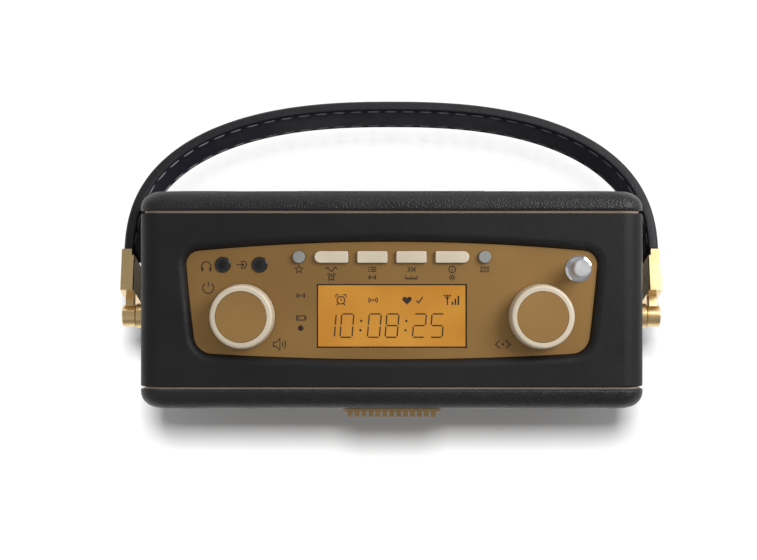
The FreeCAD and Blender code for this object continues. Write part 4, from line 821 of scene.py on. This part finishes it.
def draw_power(ink, x, y, size):
    ink.arc(x, y, size, 125, 415)
    ink.line([(x, y + 0.25 * size), (x, y + 1.15 * size)])


def draw_line_in(ink, x, y, size):
    """An arrow that runs into an open ring."""
    ink.arc(x + 0.35 * size, y, 0.8 * size, -130, 130)
    ink.line([(x - 1.1 * size, y), (x + 0.5 * size, y)])
    ink.line([(x + 0.1 * size, y + 0.4 * size), (x + 0.5 * size, y),
              (x + 0.1 * size, y - 0.4 * size)])


def draw_battery(ink, x, y, size):
    half = 0.5 * size
    ink.line([(x - size, y - half), (x + size, y - half), (x + size, y + half),
              (x - size, y + half)], closed=True)
    ink.line([(x + 1.25 * size, y - 0.25 * size), (x + 1.25 * size, y + 0.25 * size)])
    ink.line([(x - 0.6 * size, y - 0.25 * size), (x - 0.6 * size, y + 0.25 * size)])


def draw_waves(ink, x, y, size):
    """A dot with arcs to both sides, for a wireless link."""
    ink.dot(x, y, 0.24 * size)
    for side in (0, 180):
        for reach in (0.6, 1.05):
            ink.arc(x, y, reach * size, side - 38, side + 38)


def draw_speaker(ink, x, y, size):
    ink.line([(x - size, y - 0.35 * size), (x - 0.5 * size, y - 0.35 * size),
              (x + 0.1 * size, y - size), (x + 0.1 * size, y + size),
              (x - 0.5 * size, y + 0.35 * size), (x - size, y + 0.35 * size)], closed=True)
    for reach in (0.5, 0.95):
        ink.arc(x + 0.1 * size, y, reach * size, -42, 42)


def draw_turn(ink, x, y, size):
    """Two corner marks either side of a dot."""
    ink.dot(x, y, 0.22 * size)
    for side in (-1, 1):
        ink.line([(x + side * 0.55 * size, y + 0.75 * size), (x + side * 1.35 * size, y),
                  (x + side * 0.55 * size, y - 0.75 * size)])


def draw_star(ink, x, y, size):
    points = []
    for i in range(10):
        reach = size if i % 2 == 0 else 0.42 * size
        angle = math.radians(90 + 36 * i)
        points.append((x + reach * math.cos(angle), y + reach * math.sin(angle)))
    ink.line(points, 0.8 * PRINT_LINE, True)


def draw_wave(ink, x, y, size):
    """One and a half periods of a wave."""
    ink.line([(x + size * (-1.5 + 3 * i / 18), y + 0.6 * size * math.sin(math.tau * 1.5 * i / 18))
              for i in range(19)])


def draw_clock(ink, x, y, size):
    ink.ring(x, y, 0.75 * size)
    ink.line([(x, y + 0.45 * size), (x, y), (x + 0.3 * size, y)], 0.7 * PRINT_LINE)
    for side in (-1, 1):
        ink.arc(x + side * 0.68 * size, y + 0.78 * size, 0.32 * size,
                45 - side * 45 - 40, 45 - side * 45 + 130)
        ink.line([(x + side * 0.5 * size, y - 0.62 * size), (x + side * 0.8 * size, y - size)])


def draw_list(ink, x, y, size):
    for row in (-1, 0, 1):
        ink.line([(x - 0.55 * size, y + row * 0.6 * size), (x + 1.2 * size, y + row * 0.6 * size)])
        ink.dot(x - 1.1 * size, y + row * 0.6 * size, 0.2 * size)


def draw_seek(ink, x, y, size):
    """Two chevrons that point right, and a bar."""
    for shift in (-1.0, -0.1):
        ink.line([(x + shift * size, y + 0.65 * size), (x + (shift + 0.7) * size, y),
                  (x + shift * size, y - 0.65 * size)])
    ink.line([(x + 0.95 * size, y - 0.65 * size), (x + 0.95 * size, y + 0.65 * size)])


def draw_scale(ink, x, y, size):
    """A tuning scale with a pointer."""
    ink.line([(x - 1.5 * size, y - 0.4 * size), (x + 1.5 * size, y - 0.4 * size)])
    for step in range(7):
        reach = 0.55 if step % 3 == 0 else 0.1
        ink.line([(x + size * (-1.5 + 0.5 * step), y - 0.4 * size),
                  (x + size * (-1.5 + 0.5 * step), y + reach * size)], 0.7 * PRINT_LINE)


def draw_info(ink, x, y, size):
    ink.ring(x, y, 0.95 * size)
    ink.dot(x, y + 0.45 * size, 0.16 * size)
    ink.line([(x, y + 0.15 * size), (x, y - 0.5 * size)])


def draw_sun(ink, x, y, size):
    ink.ring(x, y, 0.42 * size)
    for step in range(8):
        angle = math.tau * step / 8
        near, far = 0.68 * size, 1.02 * size
        ink.line([(x + near * math.cos(angle), y + near * math.sin(angle)),
                  (x + far * math.cos(angle), y + far * math.sin(angle))], 0.8 * PRINT_LINE)


def draw_slots(ink, x, y, size):
    """A small grid of presets with one chosen."""
    for i in range(3):
        for j in range(2):
            px, py = x + (i - 1) * 0.9 * size, y + (j - 0.5) * 0.9 * size
            if i == j == 0:
                ink.dot(px, py, 0.32 * size)
            else:
                ink.ring(px, py, 0.26 * size, 0.7 * PRINT_LINE)


def draw_heart(ink, x, y, size):
    points = []
    for i in range(28):
        turn = math.tau * i / 28
        px = 16 * math.sin(turn) ** 3
        py = (13 * math.cos(turn) - 5 * math.cos(2 * turn) - 2 * math.cos(3 * turn)
              - math.cos(4 * turn))
        points.append((x + px * size / 16, y + py * size / 16))
    ink.shape(points[::-1])


def draw_tick(ink, x, y, size):
    ink.line([(x - 0.8 * size, y - 0.05 * size), (x - 0.25 * size, y - 0.7 * size),
              (x + 0.85 * size, y + 0.85 * size)], 1.2 * PRINT_LINE)


def draw_reception(ink, x, y, size):
    """An aerial and three bars of rising height."""
    low = y - size
    ink.line([(x - size, low), (x - size, y + size)], 1.2 * PRINT_LINE)
    ink.line([(x - 1.7 * size, y + size), (x - 0.3 * size, y + size), (x - size, y + 0.2 * size)],
             0.9 * PRINT_LINE, True)
    for step, reach in enumerate((0.7, 1.3, 1.9)):
        px = x + (0.05 + 0.6 * step) * size
        ink.line([(px, low), (px, low + reach * size)], 1.5 * PRINT_LINE)


LABEL_ROW = 12.4 * MM           # first row of marks under the keys
SECOND_ROW = 9.2 * MM


def make_panel_marks():
    """The panel's printed marks: plain pictograms, no words."""
    ink = Print(PANEL_TOP)
    rows = [
        (draw_headphones, -75.2, 13.6, 1.9), (draw_line_in, -61.0, 14.3, 1.8),
        (draw_power, -74.4, 4.9, 2.2), (draw_waves, -36.9, 1.8, 1.5),
        (draw_battery, -36.9, -7.3, 1.7), (draw_speaker, -45.6, -18.0, 2.4),
        (draw_turn, 45.0, -18.0, 2.2),
    ]
    for draw, x, y, size in rows:
        draw(ink, x * MM, y * MM, size * MM)
    labels = [
        (draw_star, -37.65, LABEL_ROW, 1.7), (draw_wave, -24.5, LABEL_ROW, 1.5),
        (draw_clock, -24.5, SECOND_ROW, 1.4), (draw_list, -7.9, LABEL_ROW, 1.3),
        (draw_waves, -7.9, SECOND_ROW, 1.3), (draw_seek, 7.9, LABEL_ROW, 1.5),
        (draw_scale, 7.9, SECOND_ROW, 1.6), (draw_info, 24.5, LABEL_ROW, 1.4),
        (draw_sun, 24.5, SECOND_ROW, 1.4), (draw_slots, 37.65, LABEL_ROW, 1.5),
    ]
    for draw, x, y, size in labels:
        draw(ink, x * MM, y, size * MM)
    return ink.piece("panel_marks", EXTRA["print"])


# ================================================================ display
SEGMENTS = {
    "0": "abcdef", "1": "bc", "2": "abged", "3": "abgcd", "4": "fgbc", "5": "afgcd",
    "6": "afgedc", "7": "abc", "8": "abcdefg", "9": "abfgcd",
}
DIGIT_WIDTH = 4.9 * MM
DIGIT_HEIGHT = 9.5 * MM
DIGIT_PITCH = 7.2 * MM
DIGIT_LINE = 0.55 * MM
DIGIT_GAP = 0.35 * MM
DIGIT_SLANT = 0.085
FACE_SHADE_RIM = 0.55 * MM


def draw_digit(ink, value, x, y):
    """One seven-segment figure, leaning to the right; x and y are its lower left corner."""
    w, h, g = DIGIT_WIDTH, DIGIT_HEIGHT, DIGIT_GAP
    runs = {
        "a": ((g, h), (w - g, h)), "d": ((g, 0), (w - g, 0)), "g": ((g, h / 2), (w - g, h / 2)),
        "b": ((w, h / 2 + g), (w, h - g)), "c": ((w, g), (w, h / 2 - g)),
        "f": ((0, h / 2 + g), (0, h - g)), "e": ((0, g), (0, h / 2 - g)),
    }
    for name in SEGMENTS[value]:
        ink.line([(x + px + py * DIGIT_SLANT, y + py) for px, py in runs[name]], DIGIT_LINE)


def make_display():
    """Lit face under the lens, its dark rim of painted shade for the gap round the window, and a
    clock with a few plain signs.
    """
    middle_x, middle_y = (LENS_LOW.x + LENS_HIGH.x) / 2, (LENS_LOW.y + LENS_HIGH.y) / 2
    half_x, half_y = 30.5 * MM, 13.0 * MM
    face = Print(GLASS_TOP + 0.005 * MM)
    face.shape([(middle_x + sx * half_x, middle_y + sy * half_y)
                for sx, sy in ((-1, -1), (1, -1), (1, 1), (-1, 1))])
    lit = face.piece("display_face", EXTRA["amber"])
    ink = Print(face.high + 0.005 * MM)
    # The dark rim round the lit face is painted shade, standing in for the gap round the display
    # window.
    edge_x, edge_y = half_x - FACE_SHADE_RIM / 2, half_y - FACE_SHADE_RIM / 2
    ink.line([(middle_x + sx * edge_x, middle_y + sy * edge_y)
              for sx, sy in ((-1, -1), (1, -1), (1, 1), (-1, 1))], FACE_SHADE_RIM, True)
    left, base = middle_x - 28.3 * MM, middle_y - 8.7 * MM
    for index, value in enumerate("10:08:25"):
        x = left + (index - 0.45 * "10:08:25"[:index].count(":")) * DIGIT_PITCH
        if value == ":":
            for share in (0.3, 0.7):
                lean = share * DIGIT_HEIGHT
                ink.dot(x + 0.9 * MM + lean * DIGIT_SLANT, base + lean, 0.5 * MM)
        else:
            draw_digit(ink, value, x, base)
    icons = [(draw_clock, -20.7, 2.1), (draw_waves, -7.6, 1.7), (draw_heart, 6.2, 1.9),
             (draw_tick, 11.3, 1.6), (draw_reception, 24.6, 2.0)]
    for draw, x, size in icons:
        draw(ink, x * MM, middle_y + 6.4 * MM, size * MM)
    ink.piece("display_marks", EXTRA["segments"])


# ================================================================ stage
def add_area(name, place, size, power, goal):
    """A soft rectangular light that faces a point."""
    light = bpy.data.lights.new(name, "AREA")
    light.shape, light.size, light.size_y = "RECTANGLE", *size
    light.energy = power
    lamp = bpy.data.objects.new(name, light)
    bpy.context.scene.collection.objects.link(lamp)
    lamp.location = place
    lamp.rotation_euler = (Vector(goal) - Vector(place)).to_track_quat("-Z", "Y").to_euler()
    return lamp


def linked(name, floor, state):
    """A light-linking group that holds the floor, to be included or left out."""
    receivers = bpy.data.collections.new(name)
    receivers.objects.link(floor)
    receivers.collection_objects[0].light_linking.link_state = state
    return receivers


def leave_out_strap(lamp):
    """The strap casts no shadow from this lamp."""
    strap = bpy.data.collections.new("thin_strap")
    for name in ("handle_strap", "handle_lining", "strap_wrap", "strap_lining"):
        if name in bpy.data.objects:
            strap.objects.link(bpy.data.objects[name])
    for member in strap.collection_objects:
        member.light_linking.link_state = "EXCLUDE"
    lamp.light_linking.blocker_collection = strap


def light_radio_and_floor(floor):
    """A key from the upper right for the radio, and an even light of the floor's own."""
    radio_only = linked("all_but_floor", floor, "EXCLUDE")
    floor_only = linked("floor_only", floor, "INCLUDE")
    for light in RADIO_LIGHTS:
        lamp = add_area(*light, goal=RADIO_MIDDLE)
        lamp.light_linking.receiver_collection = radio_only
    lamp = add_area(*FLOOR_LIGHT, goal=(0, 0, 0))
    lamp.light_linking.receiver_collection = floor_only
    leave_out_strap(lamp)


def make_floor():
    """A large pale sheet under the radio."""
    material = plastic("floor_paper", colour(244, 244, 244), 0.9, 1 * MM, 0.01 * MM, 0.985)
    mesh = bpy.data.meshes.new("floor")
    corners = [(x * FLOOR_REACH, y * FLOOR_REACH, 0)
               for x, y in ((-1, -1), (1, -1), (1, 1), (-1, 1))]
    mesh.from_pydata(corners, [], [(0, 1, 2, 3)])
    mesh.materials.append(material)
    floor = bpy.data.objects.new("floor", mesh)
    bpy.context.scene.collection.objects.link(floor)
    return floor


def make_world():
    """Soft surroundings: brightest at the horizon, with a pale patch straight above."""
    world = bpy.data.worlds.new("studio")
    world.use_nodes = True
    nodes, links = world.node_tree.nodes, world.node_tree.links
    direction = nodes.new("ShaderNodeTexCoord")
    parts = nodes.new("ShaderNodeSeparateXYZ")
    links.new(direction.outputs["Generated"], parts.inputs[0])
    height = nodes.new("ShaderNodeMapRange")
    height.inputs["From Min"].default_value = -1.0
    links.new(parts.outputs["Z"], height.inputs["Value"])
    ramp = nodes.new("ShaderNodeValToRGB")
    while len(ramp.color_ramp.elements) < len(WORLD_SHADES):
        ramp.color_ramp.elements.new(0.5)
    for element, (place, shade) in zip(ramp.color_ramp.elements, WORLD_SHADES):
        element.position, element.color = place, (shade, shade, shade, 1)
    links.new(height.outputs[0], ramp.inputs[0])
    links.new(ramp.outputs[0], nodes["Background"].inputs["Color"])
    nodes["Background"].inputs["Strength"].default_value = WORLD_STRENGTH
    bpy.context.scene.world = world
    bpy.context.scene.view_settings.view_transform = "Standard"


def make_camera():
    """The camera, straight above the radio."""
    camera = bpy.data.cameras.new("camera")
    camera.sensor_width, camera.lens = CAMERA_SENSOR, CAMERA_LENS
    camera.clip_start, camera.clip_end = 0.01, 20.0
    eye = bpy.data.objects.new("camera", camera)
    bpy.context.scene.collection.objects.link(eye)
    eye.location = CAMERA_PLACE
    bpy.context.scene.camera = eye


def make_stage():
    """Floor, lights, surroundings and camera."""
    light_radio_and_floor(make_floor())
    make_world()
    make_camera()


# ================================================================ all of it
dress_cad_nodes()
make_front_pad()
make_rear_pad()
make_speaker_cloth()
make_strap()
make_lining()
make_stitches()
make_panel_marks()
make_display()
make_stage()
